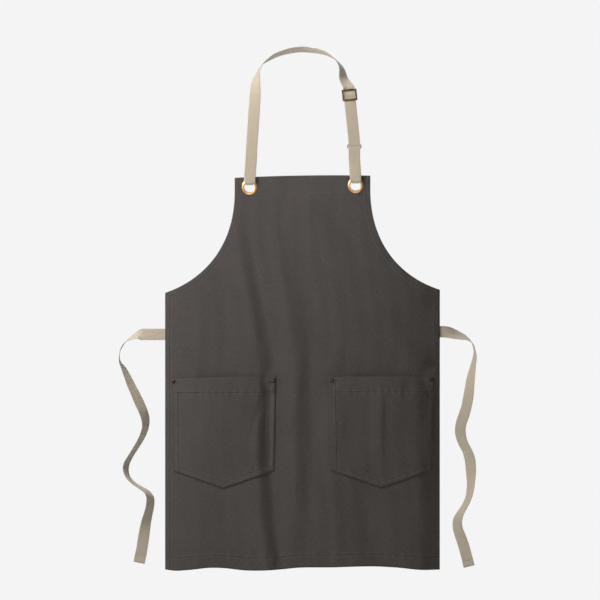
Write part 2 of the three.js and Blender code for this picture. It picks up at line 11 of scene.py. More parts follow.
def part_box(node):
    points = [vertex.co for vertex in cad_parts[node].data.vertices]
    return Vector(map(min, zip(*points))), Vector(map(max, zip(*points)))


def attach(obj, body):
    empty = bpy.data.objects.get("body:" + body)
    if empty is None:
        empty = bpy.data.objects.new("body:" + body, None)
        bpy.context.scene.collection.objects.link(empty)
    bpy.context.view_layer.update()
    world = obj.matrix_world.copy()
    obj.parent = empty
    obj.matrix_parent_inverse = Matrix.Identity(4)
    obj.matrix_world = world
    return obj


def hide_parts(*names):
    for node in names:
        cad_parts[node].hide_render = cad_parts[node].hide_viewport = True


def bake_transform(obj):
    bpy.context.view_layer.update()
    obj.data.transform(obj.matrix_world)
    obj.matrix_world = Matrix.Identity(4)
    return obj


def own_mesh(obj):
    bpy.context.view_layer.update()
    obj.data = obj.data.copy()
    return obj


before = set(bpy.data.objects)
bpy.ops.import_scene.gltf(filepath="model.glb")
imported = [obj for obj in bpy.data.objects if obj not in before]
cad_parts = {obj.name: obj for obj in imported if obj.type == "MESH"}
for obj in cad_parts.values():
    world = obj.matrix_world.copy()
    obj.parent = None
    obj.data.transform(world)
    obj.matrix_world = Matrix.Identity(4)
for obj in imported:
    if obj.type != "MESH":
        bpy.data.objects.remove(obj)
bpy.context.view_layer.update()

bl_info = {
    "name": "Canvas Bib Apron",
    "version": (1, 0, 0),
    "blender": (4, 5, 0),
    "location": "3D View > Sidebar > Apron",
    "description": "Cuts, hangs and sews a canvas bib apron with webbing straps and brass fittings",
    "category": "Add Mesh",
}

# ---- Sizes, in metres ------------------------------------------------------------------------

MM = 0.001
SIDES = (("left", -1), ("right", 1))
PANEL_LOW, PANEL_HIGH = (Vector(corner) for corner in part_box("apron_panel"))
HALF = (PANEL_HIGH.x - PANEL_LOW.x) / 2
FRONT = PANEL_LOW.y  # the panel's front face at its middle
LENGTH = 0.857  # from the bib's top edge to the hem
BIB_TOP = PANEL_LOW.z + LENGTH
BIB_HALF = 0.148
ARMHOLE = ((0.148, 0.030), (0.148, 0.1499), (0.2149, 0.222), (HALF, 0.250))
SIDE_SET_BACK = 0.024
HANG_TILT = 0.016
FACING = 0.043
HEM = 0.030
SIDE_HEM = 0.012
POCKET_HALF = 0.114
POCKET_SIDE = 0.204
POCKET_POINT = 0.039
POCKET_DROP = 0.437
POCKET_CENTRE = 0.1725
POCKET_TAPER = 0.0038
MOUTH_HEM = 0.033
EYELET_BORE = 0.0131  # cut in the cloth, under the flange
WEB = 0.0013  # the webbing's thickness
CLEAR = 0.0003
LAYER = WEB + CLEAR  # from one layer of webbing to the next
TIE_DROP = 0.3413
FOLD_RADIUS = 0.0065  # of the webbing's turn through an eyelet
FOLD_LIFT = 0.0046  # from the eyelet's middle to the underside of that turn
RING_WIRE = 0.002
RING_BEND = 0.0016  # radius of the ring's corners
PANEL_SEAM = 0.002  # how far a seam runs inside the edge of the hem or facing behind it
POCKET_ROWS = (0.0025, 0.0135)  # the two rows of stitches round a pocket, in from its edge
POCKET_CLOTH = 0.0008
FACING_CLOTH = 0.0008
HEM_CLOTH = 0.0007
TAPE_CLOTH = 0.0006
TAPE_WIDTH = 0.012
THREAD_LIFT = 0.0001  # how far stitches stand off the cloth
ACROSS_SEAM = 0.0108  # half the length of a seam across the webbing

# Soft folds in the hanging cloth. Each has its width and the marks it runs through: x, drop and
# how far the cloth steps back from left to right of it, in millimetres.
FOLDS = (
    (36, ((-142, 30, 0), (-132, 105, 2.5), (-114, 214, 7), (-97, 301, 10), (-83, 381, 11),
          (-80, 438, 12), (-84, 540, 13), (-82, 660, 16), (-77, 743, 17), (-60, 857, 17))),
    (42, ((-60, 20, 0), (-42, 120, 2), (-21, 229, 5), (-6, 338, 8), (0, 438, 11), (2, 591, 12),
          (-2, 737, 10), (-10, 857, 5))),
    (70, ((106, 360, 0), (112, 450, 8), (118, 590, 11), (121, 704, 14), (130, 802, 13),
          (136, 857, 9))),
    (56, ((20, 35, 0), (34, 61, 3), (77, 137, 4.5), (108, 185, 3), (134, 222, 0))),
    (60, ((150, 250, 0), (190, 300, 3), (232, 350, 5), (262, 420, 5), (282, 520, 3), (292, 640, 0))),
    (46, ((30, 600, 0), (36, 660, 2), (44, 760, 4), (40, 857, 3))),
    (9, ((106, 36, 0), (110, 46, 1.2), (125, 65, 1.2), (140, 83, 0))),
    (70, ((-290, 420, 0), (-232, 300, 1), (-200, 250, 3), (-190, 220, 0))),
    (40, ((84, 330, 0), (80, 430, 5), (82, 560, 7), (80, 700, 7), (88, 857, 5))),
)
FOLD_REACH = 5  # how many times its width a fold takes to die away
HEM_WAVE = ((-300, 0.6), (-280, 3.2), (-249, 1.6), (-200, -3.4), (-176, -3), (-124, 2.2),
            (-92, 2.6), (-40, -0.6), (-18, -3), (60, -4.4), (170, -6), (204, -4), (262, 1.6),
            (300, 1.2))


def smoothstep(t):
    t = np.clip(t, 0, 1)
    return t * t * (3 - 2 * t)


def follow(at, marks, values):
    """A smooth curve through values at marks."""
    marks = np.asarray(marks, float)
    values = np.asarray(values, float)
    slope = np.gradient(values, marks)
    k = np.clip(np.searchsorted(marks, at) - 1, 0, len(marks) - 2)
    span = marks[k + 1] - marks[k]
    t = np.clip((at - marks[k]) / span, 0, 1)
    rest = (1 - t) ** 2
    return (values[k] * (1 + 2 * t) * rest + slope[k] * span * t * rest
            + values[k + 1] * t * t * (3 - 2 * t) - slope[k + 1] * span * t * t * (1 - t))


def centre_of(node):
    low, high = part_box(node)
    return (Vector(low) + Vector(high)) / 2


def drop_at(x, z):
    """How far below the bib's top edge a point of the panel at that height was cut."""
    drop = BIB_TOP - z
    for _ in range(3):
        drop = BIB_TOP + HANG_TILT * (1 - drop / LENGTH) * x - z
    return drop


def found(names, node):
    """The x and drop of each named fitting, read from its place in the frame."""
    spots = [(name, centre_of(name + node)) for name in names]
    return [(name, spot.x, drop_at(spot.x, spot.z)) for name, spot in spots]


RIVETS = found(("left_inner", "left_outer", "right_inner", "right_outer"), "_rivet_cap")
EYELETS = found(("left", "right"), "_eyelet")


def calm(x, drop):
    """0 where hardware or a tie holds the cloth flat, 1 away from it."""
    held = [(at, low, 0.010, 0.034) for _, at, low in RIVETS]
    held += [(at, low, 0.020, 0.044) for _, at, low in EYELETS]
    held += [(side * HALF, TIE_DROP, 0.022, 0.080) for side in (-1, 1)]
    mask = np.ones_like(x)
    for at, low, near, far in held:
        gap = np.hypot(x - at, drop - low)
        mask = mask * smoothstep((gap - near) / (far - near))
    return mask


def ripple(x, drop):
    """How far the folds and small creases carry the cloth back."""
    depth = np.zeros_like(x)
    for width, marks in FOLDS:
        marks = np.array(marks) * MM
        centre = follow(drop, marks[:, 1], marks[:, 0])
        step = follow(drop, marks[:, 1], marks[:, 2])
        across = (x - centre) / (width * MM)
        depth += step * (smoothstep(across + 0.5) - smoothstep(across / FOLD_REACH + 0.5))
    curl = smoothstep((x - 0.250) / 0.05) * smoothstep((drop - 0.24) / 0.08)
    depth += (0.007 + 0.005 * smoothstep((drop - 0.45) / 0.2)) * curl
    turn = 2 * math.pi
    depth += 0.0006 * np.sin(turn * (x / 0.127 + 0.5 * np.sin(drop / 0.083) + 0.2))
    depth += 0.0003 * np.sin(turn * (drop / 0.118 + 0.25 * np.sin(x / 0.067 + 1.1)))
    depth += 0.00028 * np.sin(turn * (x / 0.038 + 0.4 * np.sin(drop / 0.071)))
    return depth * bpy.context.scene.apron_canvas.folds


def pucker(gap, x, wave, height):
    """Small waves in the cloth beside a line of stitches that lies gap away."""
    near = np.exp(-((gap / 0.007) ** 2))
    return height * near * np.sin(2 * math.pi * (x / wave + 0.35 * np.sin(x / 0.031)))


def hang_at(x, drop, depth=0.0):
    """Where a point of the cut cloth hangs: x across, drop down from the bib's top edge, and
    depth back from the panel's front face."""
    x = np.asarray(x, float)
    drop = np.asarray(drop, float)
    y = FRONT + SIDE_SET_BACK * (x / HALF) ** 4 + ripple(x, drop) * calm(x, drop) + depth
    tilt = HANG_TILT * (1 - drop / LENGTH)
    crown = 0.0026 * np.clip(1 - (x / BIB_HALF) ** 2, 0, 1) * np.exp(-drop / 0.022)
    wave = np.array(HEM_WAVE) * MM
    sag = follow(x, wave[:, 0], wave[:, 1]) * smoothstep((drop - LENGTH + 0.11) / 0.11)
    return np.stack([x, y, BIB_TOP + tilt * x - drop + crown - sag], axis=-1)


def armhole_at(t, inset=0.0):
    """x and drop along the right armhole, moved in from its edge by inset."""
    t = np.asarray(t, float)[..., None]
    a, b, c, d = (np.array(point) for point in ARMHOLE)
    at = a * (1 - t) ** 3 + 3 * b * t * (1 - t) ** 2 + 3 * c * t * t * (1 - t) + d * t**3
    way = (b - a) * (1 - t) ** 2 + 2 * (c - b) * t * (1 - t) + (d - c) * t * t
    way = way / np.linalg.norm(way, axis=-1, keepdims=True)
    inward = np.stack([-way[..., 1], way[..., 0]], axis=-1)
    at = at + np.asarray(inset, float)[..., None] * inward
    return at[..., 0], at[..., 1]


def outline():
    """x and drop down the panel's right side, from the bib's corner to the hem."""
    x, drop = armhole_at(np.linspace(0, 1, 90))
    x = np.concatenate([np.full(8, BIB_HALF), x, np.full(150, HALF)])
    straight = np.linspace(0, ARMHOLE[0][1], 9)[:-1]
    skirt = np.linspace(ARMHOLE[3][1], LENGTH, 151)[1:]
    return x, np.concatenate([straight, drop, skirt])


# ---- Mesh helpers ----------------------------------------------------------------------------

def new_object(name, points, faces, material, uv=None, marks=None, smooth=True):
    mesh = bpy.data.meshes.new(name)
    mesh.from_pydata(np.asarray(points).tolist(), [], [list(map(int, face)) for face in faces])
    if smooth:
        mesh.polygons.foreach_set("use_smooth", [True] * len(mesh.polygons))
    corners = np.empty(len(mesh.loops), dtype=np.int32)
    mesh.loops.foreach_get("vertex_index", corners)
    if uv is not None:
        layer = mesh.uv_layers.new(name="Cut")
        layer.data.foreach_set("uv", np.asarray(uv, np.float32)[corners].ravel())
    for mark, values in (marks or {}).items():
        layer = mesh.attributes.new(mark, "FLOAT", "POINT")
        layer.data.foreach_set("value", np.asarray(values, np.float32))
    mesh.update()
    made = bpy.data.objects.new(name, mesh)
    bpy.context.scene.collection.objects.link(made)
    if material:
        mesh.materials.append(material)
    return made


def cloth(name, columns, rows, place, thickness, material, marks, holes=()):
    """A sheet of cloth. place(u, v) gives x, drop and depth arrays, with u from -1 to 1 across
    and v from 0 to 1 down; marks(x, drop) gives the attributes that its finish reads."""
    u, v = np.meshgrid(np.linspace(-1, 1, columns + 1), np.linspace(0, 1, rows + 1))
    x, drop, depth = place(u.ravel(), v.ravel())
    index = np.arange((columns + 1) * (rows + 1)).reshape(rows + 1, columns + 1)
    faces = np.stack(
        [index[:-1, :-1], index[1:, :-1], index[1:, 1:], index[:-1, 1:]], axis=-1
    ).reshape(-1, 4)
    for at, low, radius in holes:
        middle_x = x[faces].mean(axis=1)
        middle_drop = drop[faces].mean(axis=1)
        inside = np.hypot(middle_x - at, middle_drop - low) < radius
        edge = np.intersect1d(faces[inside], faces[~inside])
        way_x = x[edge] - at
        way_drop = drop[edge] - low
        reach = np.hypot(way_x, way_drop)
        x[edge] = at + way_x / reach * radius
        drop[edge] = low + way_drop / reach * radius
        faces = faces[~inside]
    used, faces = np.unique(faces, return_inverse=True)
    faces = faces.reshape(-1, 4)
    x, drop, depth = x[used], drop[used], (depth + np.zeros_like(x))[used]
    made = new_object(
        name, hang_at(x, drop, depth), faces, material, np.stack([x, -drop], axis=-1),
        marks(x, drop),
    )
    solid = made.modifiers.new("Thickness", "SOLIDIFY")
    solid.thickness = thickness
    solid.offset = -1
    return made


def ring_faces(index, closed=False):
    """Quads between neighbouring rows of vertex numbers, each row a ring. Where closed, the last
    row meets the first."""
    onward = np.roll(index, -1, axis=1)
    quads = np.stack(
        [index, onward, np.roll(onward, -1, axis=0), np.roll(index, -1, axis=0)], axis=-1
    )
    return (quads if closed else quads[:-1]).reshape(-1, 4).tolist()


def lathe(profile, segments, closed):
    """Points and faces of a profile of (radius, back) pairs turned round the Y axis. A profile
    that isn't closed starts and ends on the axis."""
    profile = np.array(profile) * MM
    turn = np.linspace(0, 2 * math.pi, segments, endpoint=False)
    rings = profile if closed else profile[1:-1]
    spokes = np.stack([np.cos(turn), np.zeros(segments), np.sin(turn)], axis=-1)
    points = rings[:, None, :1] * spokes + rings[:, None, 1:] * np.array((0, 1, 0))
    points = points.reshape(-1, 3)
    index = np.arange(len(points)).reshape(len(rings), segments)
    faces = ring_faces(index, closed)
    if not closed:
        for ring, pole, way in ((index[0], profile[0], -1), (index[-1], profile[-1], 1)):
            pairs = zip(*(ring, np.roll(ring, -1))[::way])
            faces += [(len(points), one, other) for one, other in pairs]
            points = np.vstack([points, (0, pole[1], 0)])
    return points, faces


def face_outwards(made):
    work = bmesh.new()
    work.from_mesh(made.data)
    bmesh.ops.remove_doubles(work, verts=work.verts, dist=1e-6)
    bmesh.ops.recalc_face_normals(work, faces=work.faces)
    work.to_mesh(made.data)
    work.free()


def set_on_panel(points, x, drop):
    """Moves hardware, made round the Y axis, to its place and turns it square to the panel."""
    slope = 4 * SIDE_SET_BACK * x**3 / HALF**4
    turn = np.array(Matrix.Rotation(math.atan(slope), 3, "Z"))
    tilt = HANG_TILT * (1 - drop / LENGTH)
    at = (x, FRONT + SIDE_SET_BACK * (x / HALF) ** 4, BIB_TOP + tilt * x - drop)
    return points @ turn.T + np.array(at)


def subdivide(made, levels):
    surface = made.modifiers.new("Rounded", "SUBSURF")
    surface.levels = levels
    surface.render_levels = levels


def soften(made, width, segments=2):
    edge = made.modifiers.new("Softened edges", "BEVEL")
    edge.width = width
    edge.segments = segments
    edge.limit_method = "ANGLE"
    edge.angle_limit = math.radians(35)
    edge.harden_normals = True
    made.data.polygons.foreach_set("use_smooth", [True] * len(made.data.polygons))


def turned_piece(name, profile, segments, closed, x, drop, metal, slot, node, darken_share=0.0):
    """Turns a piece of hardware, sets it on the panel and makes its colour darker outside its
    middle.
    """
    points, faces = lathe(profile, segments, closed)
    out = np.hypot(points[:, 0], points[:, 2])
    # darker colour outside the middle of the piece; the middle keeps the metal's own colour
    darkening = darken_share * smoothstep((out - 0.0008) / 0.0012)
    made = new_object(name, set_on_panel(points, x, drop), faces, metal,
                      marks={"darkening": darkening})
    face_outwards(made)
    subdivide(made, 1)
    settle(made, "apron", slot, node)


def settle(made, body, slot, *nodes):
    """The piece rides on a body and stands for some CAD nodes, which it hides. The slot is not used.
    """
    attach(made, body)
    if nodes:
        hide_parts(*nodes)


# ---- Webbing routes --------------------------------------------------------------------------

ACROSS = (1, 0, 0)
DOWN_ACROSS = (-1, 0, 0)


def station(at, across=ACROSS, width=1.0):
    """A point on a run of webbing, the direction across it and its share of the full width."""
    return np.array(at, float), np.array(across, float), width


def spread(marks, steps):
    """Stations along a smooth curve through the given ones, closer where the bends are."""
    points = np.array([mark[0] for mark in marks])
    points = np.vstack([2 * points[0] - points[1], points, 2 * points[-1] - points[-2]])
    last = len(marks) - 1
    stations = []
    for i in range(steps + 1):
        place = i / steps * last
        k = min(int(place), last - 1)
        t = place - k
        p = points[k : k + 4]
        gap = np.sqrt(np.linalg.norm(np.diff(p, axis=0), axis=1))
        out = gap[1] * ((p[1] - p[0]) / gap[0] - (p[2] - p[0]) / (gap[0] + gap[1])) + (p[2] - p[1])
        into = gap[1] * ((p[3] - p[2]) / gap[2] - (p[3] - p[1]) / (gap[1] + gap[2])) + (p[2] - p[1])
        at = ((2 * t**3 - 3 * t**2 + 1) * p[1] + (t**3 - 2 * t**2 + t) * out
              + (3 * t**2 - 2 * t**3) * p[2] + (t**3 - t**2) * into)
        across = marks[k][1] * (1 - t) + marks[k + 1][1] * t
        stations.append((at, across, 1.0))
    return stations


def turn_round(centre, radius, from_front, under, across, steps, width_at=lambda back: 1.0):
    """The webbing's half circle round a bar that lies across it."""
    stations = []
    for i in range(steps + 1):
        angle = math.pi * i / steps
        back = (-1 if from_front else 1) * math.cos(angle) * radius
        up = (-1 if under else 1) * math.sin(angle) * radius
        stations.append(station(np.array(centre) + (0, back, up), across, width_at(back)))
    return stations


def webbing(name, stations, width, material, thickness=WEB):
    """A flat woven band along its stations, with rounded selvedges. Its UV map is metres across
    and metres along."""
    points = np.array([at for at, _, _ in stations])
    along = np.empty_like(points)
    along[1:-1] = points[2:] - points[:-2]
    along[0] = points[1] - points[0]
    along[-1] = points[-1] - points[-2]
    along /= np.linalg.norm(along, axis=1, keepdims=True)
    across = np.array([way for _, way, _ in stations])
    across -= along * (across * along).sum(axis=1, keepdims=True)
    across /= np.linalg.norm(across, axis=1, keepdims=True)
    face = np.cross(along, across)
    share = np.array([part for _, _, part in stations])
    run = np.concatenate([[0], np.cumsum(np.linalg.norm(np.diff(points, axis=0), axis=1))])
    half = width / 2
    thin = thickness / 2
    flat = np.linspace(-(half - thin), half - thin, 9)
    section = [(a, thin * (1 - 0.12 * (a / half) ** 2)) for a in flat[::-1]]
    section += [(-half + 0.3 * thin, 0.66 * thin), (-half, 0), (-half + 0.3 * thin, -0.66 * thin)]
    section += [(a, -thin * (1 - 0.12 * (a / half) ** 2)) for a in flat]
    section += [(half - 0.3 * thin, -0.66 * thin), (half, 0), (half - 0.3 * thin, 0.66 * thin)]
    section = np.array(section)
    ring = len(section)
    count = len(stations)
    at = (points[:, None, :]
          + section[None, :, :1] * share[:, None, None] * across[:, None, :]
          + section[None, :, 1:] * face[:, None, :])
    uv = np.stack(
        [np.tile(section[:, 0], (count, 1)), np.tile(run[:, None], (1, ring))], axis=-1
    )
    index = np.arange(count * ring).reshape(count, ring)
    faces = [*ring_faces(index), index[0][::-1].tolist(), index[-1].tolist()]
    return new_object(name, at.reshape(-1, 3), faces, material, uv.reshape(-1, 2))


# The middle of each tie from its bend outwards: distance out from the panel's side edge, back from
# that edge, down from the tie's sewn end, then the direction across the webbing as outward, back
# and up.
TIE_ROUTES = {
    "left": (
        (0.03, 0.003, 0, 0, 0, 1), (0.05, 0.006, 0, 0, 0.15, 0.98),
        (0.059, 0.008, 0.001, -0.1, 0.6, 0.75), (0.068, 0.01, 0.005, -0.2, 0.85, 0.5),
        (0.078, 0.012, 0.01, -0.2, 0.94, 0.3), (0.087, 0.013, 0.017, -0.15, 0.98, 0.15),
        (0.0935, 0.013, 0.025, -0.1, 0.99, 0.05), (0.0985, 0.012, 0.036, 0, 1, 0),
        (0.1, 0.01, 0.05, 0, 1, 0), (0.098, 0.007, 0.06, -0.1, 0.99, 0),
        (0.092, 0.003, 0.071, -0.4, 0.92, 0), (0.084, -0.001, 0.088, -0.58, 0.81, 0),
        (0.075, -0.004, 0.109, -0.72, 0.69, 0), (0.065, -0.005, 0.13, -0.78, 0.62, 0),
        (0.056, -0.004, 0.15, -0.83, 0.56, 0), (0.048, -0.002, 0.168, -0.77, 0.64, 0),
        (0.043, 0.002, 0.185, -0.68, 0.73, 0), (0.043, 0.006, 0.202, -0.58, 0.81, 0),
        (0.05, 0.01, 0.223, -0.54, 0.84, 0), (0.063, 0.013, 0.246, -0.48, 0.88, 0),
        (0.076, 0.013, 0.267, -0.44, 0.9, 0), (0.084, 0.009, 0.283, -0.48, 0.88, 0),
        (0.086, 0.004, 0.296, -0.46, 0.89, 0), (0.082, -0.002, 0.31, -0.38, 0.92, 0.05),
        (0.071, -0.006, 0.323, -0.28, 0.95, 0.1), (0.055, -0.007, 0.334, -0.3, 0.95, 0.1),
        (0.041, -0.004, 0.344, -0.42, 0.9, 0.05), (0.033, 0, 0.358, -0.66, 0.75, 0),
        (0.033, 0.004, 0.373, -0.72, 0.7, 0), (0.037, 0.007, 0.392, -0.76, 0.65, 0),
        (0.042, 0.007, 0.412, -0.86, 0.5, 0), (0.047, 0.005, 0.443, -0.97, 0.24, 0),
        (0.051, 0.003, 0.469, -0.98, 0.2, 0), (0.057, 0.002, 0.499, -1, 0, 0),
    ),
    "right": (
        (0.01, 0.0012, 0, 0, 0, 1), (0.02, 0.0025, 0.0015, 0, 0.2, 0.98),
        (0.032, 0.005, 0.005, 0, 0.5, 0.87), (0.046, 0.009, 0.009, -0.1, 0.75, 0.66),
        (0.057, 0.012, 0.013, -0.15, 0.88, 0.45), (0.067, 0.014, 0.02, -0.15, 0.95, 0.25),
        (0.073, 0.015, 0.029, -0.1, 0.99, 0.1), (0.076, 0.014, 0.041, -0.1, 0.99, 0),
        (0.076, 0.011, 0.056, -0.31, 0.95, 0), (0.072, 0.006, 0.077, -0.47, 0.88, 0),
        (0.068, 0.001, 0.098, -0.68, 0.73, 0), (0.065, -0.003, 0.12, -0.79, 0.61, 0),
        (0.062, -0.005, 0.143, -0.9, 0.44, 0), (0.058, -0.005, 0.164, -0.9, 0.44, 0),
        (0.052, -0.003, 0.184, -0.93, 0.36, 0), (0.046, 0.001, 0.203, -0.92, 0.4, 0),
        (0.045, 0.005, 0.221, -0.94, 0.34, 0), (0.05, 0.008, 0.241, -0.87, 0.49, 0),
        (0.06, 0.009, 0.261, -0.84, 0.54, 0), (0.066, 0.007, 0.28, -0.92, 0.39, 0),
        (0.068, 0.003, 0.304, -0.88, 0.47, 0), (0.068, -0.002, 0.327, -0.69, 0.72, 0),
        (0.066, -0.006, 0.347, -0.61, 0.79, 0), (0.062, -0.008, 0.364, -0.56, 0.83, 0),
        (0.054, -0.007, 0.381, -0.55, 0.84, 0), (0.045, -0.004, 0.397, -0.6, 0.8, 0),
        (0.039, 0.001, 0.413, -0.77, 0.64, 0), (0.039, 0.005, 0.428, -0.86, 0.51, 0),
        (0.045, 0.007, 0.447, -0.94, 0.34, 0), (0.052, 0.006, 0.467, -0.95, 0.3, 0),
        (0.058, 0.004, 0.489, -0.95, 0.3, 0), (0.064, 0.003, 0.513, -0.98, 0.2, 0),
    ),
}
TIE_STEPS = 78

# The neck strap's arch: points over the neck from its front run on the left to the slider on the
# right, each with the direction across the webbing, set out from the panel's front face.
ARCH = (
    ((-0.1108, 0.0008, -0.208), (1, 0, 0)),
    ((-0.107, 0.004, -0.152), (1, 0, 0)),
    ((-0.1032, 0.01, -0.092), (0.97, -0.26, 0)),
    ((-0.1016, 0.016, -0.061), (0.67, -0.74, 0)),
    ((-0.097, 0.024, -0.042), (0.22, -0.97, 0)),
    ((-0.086, 0.036, -0.024), (0, -1, 0)),
    ((-0.067, 0.05, -0.01), (0, -0.95, 0.31)),
    ((-0.047, 0.061, -0.001), (0, -0.93, 0.36)),
    ((-0.025, 0.069, 0.0052), (0, -0.89, 0.45)),
    ((0, 0.072, 0.0078), (0, -0.88, 0.47)),
    ((0.023, 0.0685, 0.0057), (0, -0.91, 0.41)),
    ((0.04, 0.062, 0.0025), (0, -0.94, 0.34)),
    ((0.057, 0.053, -0.0042), (0, -0.98, 0.2)),
    ((0.0715, 0.042, -0.0144), (0, -1, 0)),
    ((0.0806, 0.033, -0.0246), (-0.23, -0.97, 0)),
    ((0.0864, 0.026, -0.036), (-0.44, -0.9, 0)),
    ((0.0902, 0.018, -0.057), (-0.78, -0.62, 0)),
)
SLIDE_UP = Vector((-0.1, 0.055, 1)).normalized()


def set_out(stations):
    """Stations given from the panel's front face, moved to where it hangs."""
    return [(at + (0, FRONT, 0), across, share) for at, across, share in stations]


def eyelet_centre(x, drop):
    tilt = HANG_TILT * (1 - drop / LENGTH)
    return np.array([x, SIDE_SET_BACK * (x / HALF) ** 4 + 0.0005, BIB_TOP + tilt * x - drop])


LEFT_EYELET, RIGHT_EYELET = (eyelet_centre(x, drop) for _, x, drop in EYELETS)
BAR_TURN = RING_WIRE * math.sqrt(0.5) + CLEAR + WEB / 2
BAR_REACH = BAR_TURN + (WEB + 0.0001) / 2
RING_CENTRE = np.array(centre_of("strap_ring")) - (0, FRONT, 0)
UPPER_BAR = RING_CENTRE + (0, 0, BAR_REACH)
LOWER_BAR = RING_CENTRE - (0, 0, BAR_REACH)
SLIDE_FOOT = UPPER_BAR + (-0.0006, -BAR_TURN, 0.010)
SLIDER_RISE = 0.113
SLIDER_AT = SLIDE_FOOT + np.array(SLIDE_UP) * (SLIDER_RISE - BAR_REACH - 0.010)
SLIDER_BACK = (Vector((0, 1, 0)) - SLIDE_UP * SLIDE_UP.y).normalized()
SLIDER_TURN = np.array([SLIDER_BACK.cross(SLIDE_UP), SLIDER_BACK, SLIDE_UP])
SLIDER_CLEAR = 0.0165  # from the slider's middle to where the strap is free to twist above it
END_LEGS = 0.016  # how far the strap's end reaches down from the slider's bar
SEAM = 0.022  # from the ring's lower bar down to the end of the short strap's doubled part
MEET = 0.062  # height above an eyelet where the two strands come together
TAIL = 0.066  # height of the long strap's own end
SQUEEZE = 0.70  # share of the full width left inside an eyelet
LEFT_LEAN = 0.076  # metres to the right for each metre up
RIGHT_LEAN = -0.03


def strand(at, side, lean):
    """One open strand of the teardrop above an eyelet, from its turn up to where they meet."""
    start = FOLD_LIFT + FOLD_RADIUS
    part = 0.015
    return [
        station(at + (0, side * FOLD_RADIUS, start)),
        station(at + (part * lean, side * (FOLD_RADIUS - 0.001), start + part)),
        station(at + ((MEET - start) * lean, side * LAYER / 2, MEET)),
    ]


def eyelet_turn(at):
    """The turn through an eyelet, where the webbing crumples to pass the barrel."""
    def width_at(back):
        inside = smoothstep((1.02 - abs(back) / FOLD_RADIUS) / 0.3)
        return 1 - (1 - SQUEEZE) * float(inside)
    centre = at + (0, 0, FOLD_LIFT + FOLD_RADIUS)
    return turn_round(centre, FOLD_RADIUS, False, True, ACROSS, 28, width_at)


def on_slider(x, back, up):
    return SLIDER_AT + np.array([x, back, up]) @ SLIDER_TURN


def neck_strap_route():
    tail_lean = (TAIL - FOLD_RADIUS) * LEFT_LEAN
    tail_top = LEFT_EYELET + (tail_lean, LAYER / 2, FOLD_LIFT + TAIL)
    back = [station(tail_top), *reversed(strand(LEFT_EYELET, 1, LEFT_LEAN))]
    front = strand(LEFT_EYELET, -1, LEFT_LEAN)
    arch = [front[2], *(station(at, across) for at, across in ARCH)]
    slide_top = SLIDER_AT + np.array(SLIDE_UP) * SLIDER_CLEAR
    arch.append(station(slide_top, DOWN_ACROSS))
    return set_out([
        *spread(back, 36),
        *eyelet_turn(LEFT_EYELET)[1:],
        *spread(front, 30)[1:],
        *spread(arch, 252)[1:],
        *spread([arch[-1], station(SLIDE_FOOT, DOWN_ACROSS)], 24)[1:],
        *turn_round(UPPER_BAR, BAR_TURN, True, True, DOWN_ACROSS, 14)[1:],
    ])


def short_strap_route():
    foot = LOWER_BAR[2] - SEAM
    x, y = LOWER_BAR[0], LOWER_BAR[1]
    front = strand(RIGHT_EYELET, -1, RIGHT_LEAN)
    back = strand(RIGHT_EYELET, 1, RIGHT_LEAN)
    return set_out([
        *spread([station((x, y + 1.5 * LAYER, foot + 0.012)), station((x, y + 1.5 * LAYER, foot)),
                 back[1], back[0]], 36),
        *eyelet_turn(RIGHT_EYELET)[1:],
        *spread([front[0], front[1], station((x, y - LAYER / 2, foot)),
                 station((x, y - LAYER / 2, foot + 0.012)),
                 station(LOWER_BAR + (0, -BAR_TURN, 0))], 48)[1:],
        *turn_round(LOWER_BAR, BAR_TURN, True, False, ACROSS, 14)[1:],
        station((x, y + LAYER / 2, foot + 0.010)),
    ])


def return_route():
    foot = UPPER_BAR + (0, BAR_TURN, 3 * CLEAR)
    top = on_slider(0, 2 * LAYER, -END_LEGS - 0.0002)
    return set_out(spread([
        station(foot, DOWN_ACROSS),
        station(foot + (-0.0006, 0, 0.010), DOWN_ACROSS),
        station(top, DOWN_ACROSS),
    ], 36))


def end_loop_route():
    stations = [(0, 2 * LAYER, -END_LEGS), (0, 2 * LAYER, -END_LEGS + 0.005)]
    for at, _, _ in turn_round((0, LAYER + BAR_TURN, 0), BAR_TURN, False, False, ACROSS, 16):
        stations.append(tuple(at))
    stations.append((0, LAYER, -END_LEGS))
    return set_out([station(on_slider(*at), SLIDER_TURN[0]) for at in stations])


def tie_route(name):
    side = -1 if name == "left" else 1
    x, y, z = np.array(hang_edge(side))
    marks = [station((side * (HALF - 0.0005), y, z), (0, 0, 1)),
             station((side * (HALF + 0.0028), y + 0.0005, z), (0, 0, 1))]
    for out, back, down, across_out, across_back, across_up in TIE_ROUTES[name]:
        at = (x + side * out, y + back, z - down)
        marks.append(station(at, (side * across_out, across_back, across_up)))
    return spread(marks, 5 * TIE_STEPS)


def hang_edge(side):
    """The middle of a tie's sewn end at the panel's side edge."""
    x = side * HALF
    tilt = HANG_TILT * (1 - TIE_DROP / LENGTH)
    return x, FRONT + SIDE_SET_BACK + 0.0017 + WEB / 2, BIB_TOP + tilt * x - TIE_DROP


# ---- Shader and geometry node helpers --------------------------------------------------------

def feed(tree, node, feeds):
    """Sets a node's inputs to values, or links them to other nodes' outputs."""
    for key, value in dict(feeds).items():
        if isinstance(value, bpy.types.NodeSocket):
            tree.links.new(value, node.inputs[key])
        else:
            node.inputs[key].default_value = value


def wire(tree, kind, feeds=(), **settings):
    """Adds a node, sets it up and feeds its inputs."""
    node = tree.nodes.new(kind)
    for key, value in settings.items():
        setattr(node, key, value)
    feed(tree, node, feeds)
    return node


def reckon(tree, operation, *values, clamp=False):
    feeds = dict(enumerate(values))
    return wire(tree, "ShaderNodeMath", feeds, operation=operation, use_clamp=clamp).outputs[0]


def greatest(tree, values):
    top = values[0]
    for other in values[1:]:
        top = reckon(tree, "MAXIMUM", top, other)
    return top


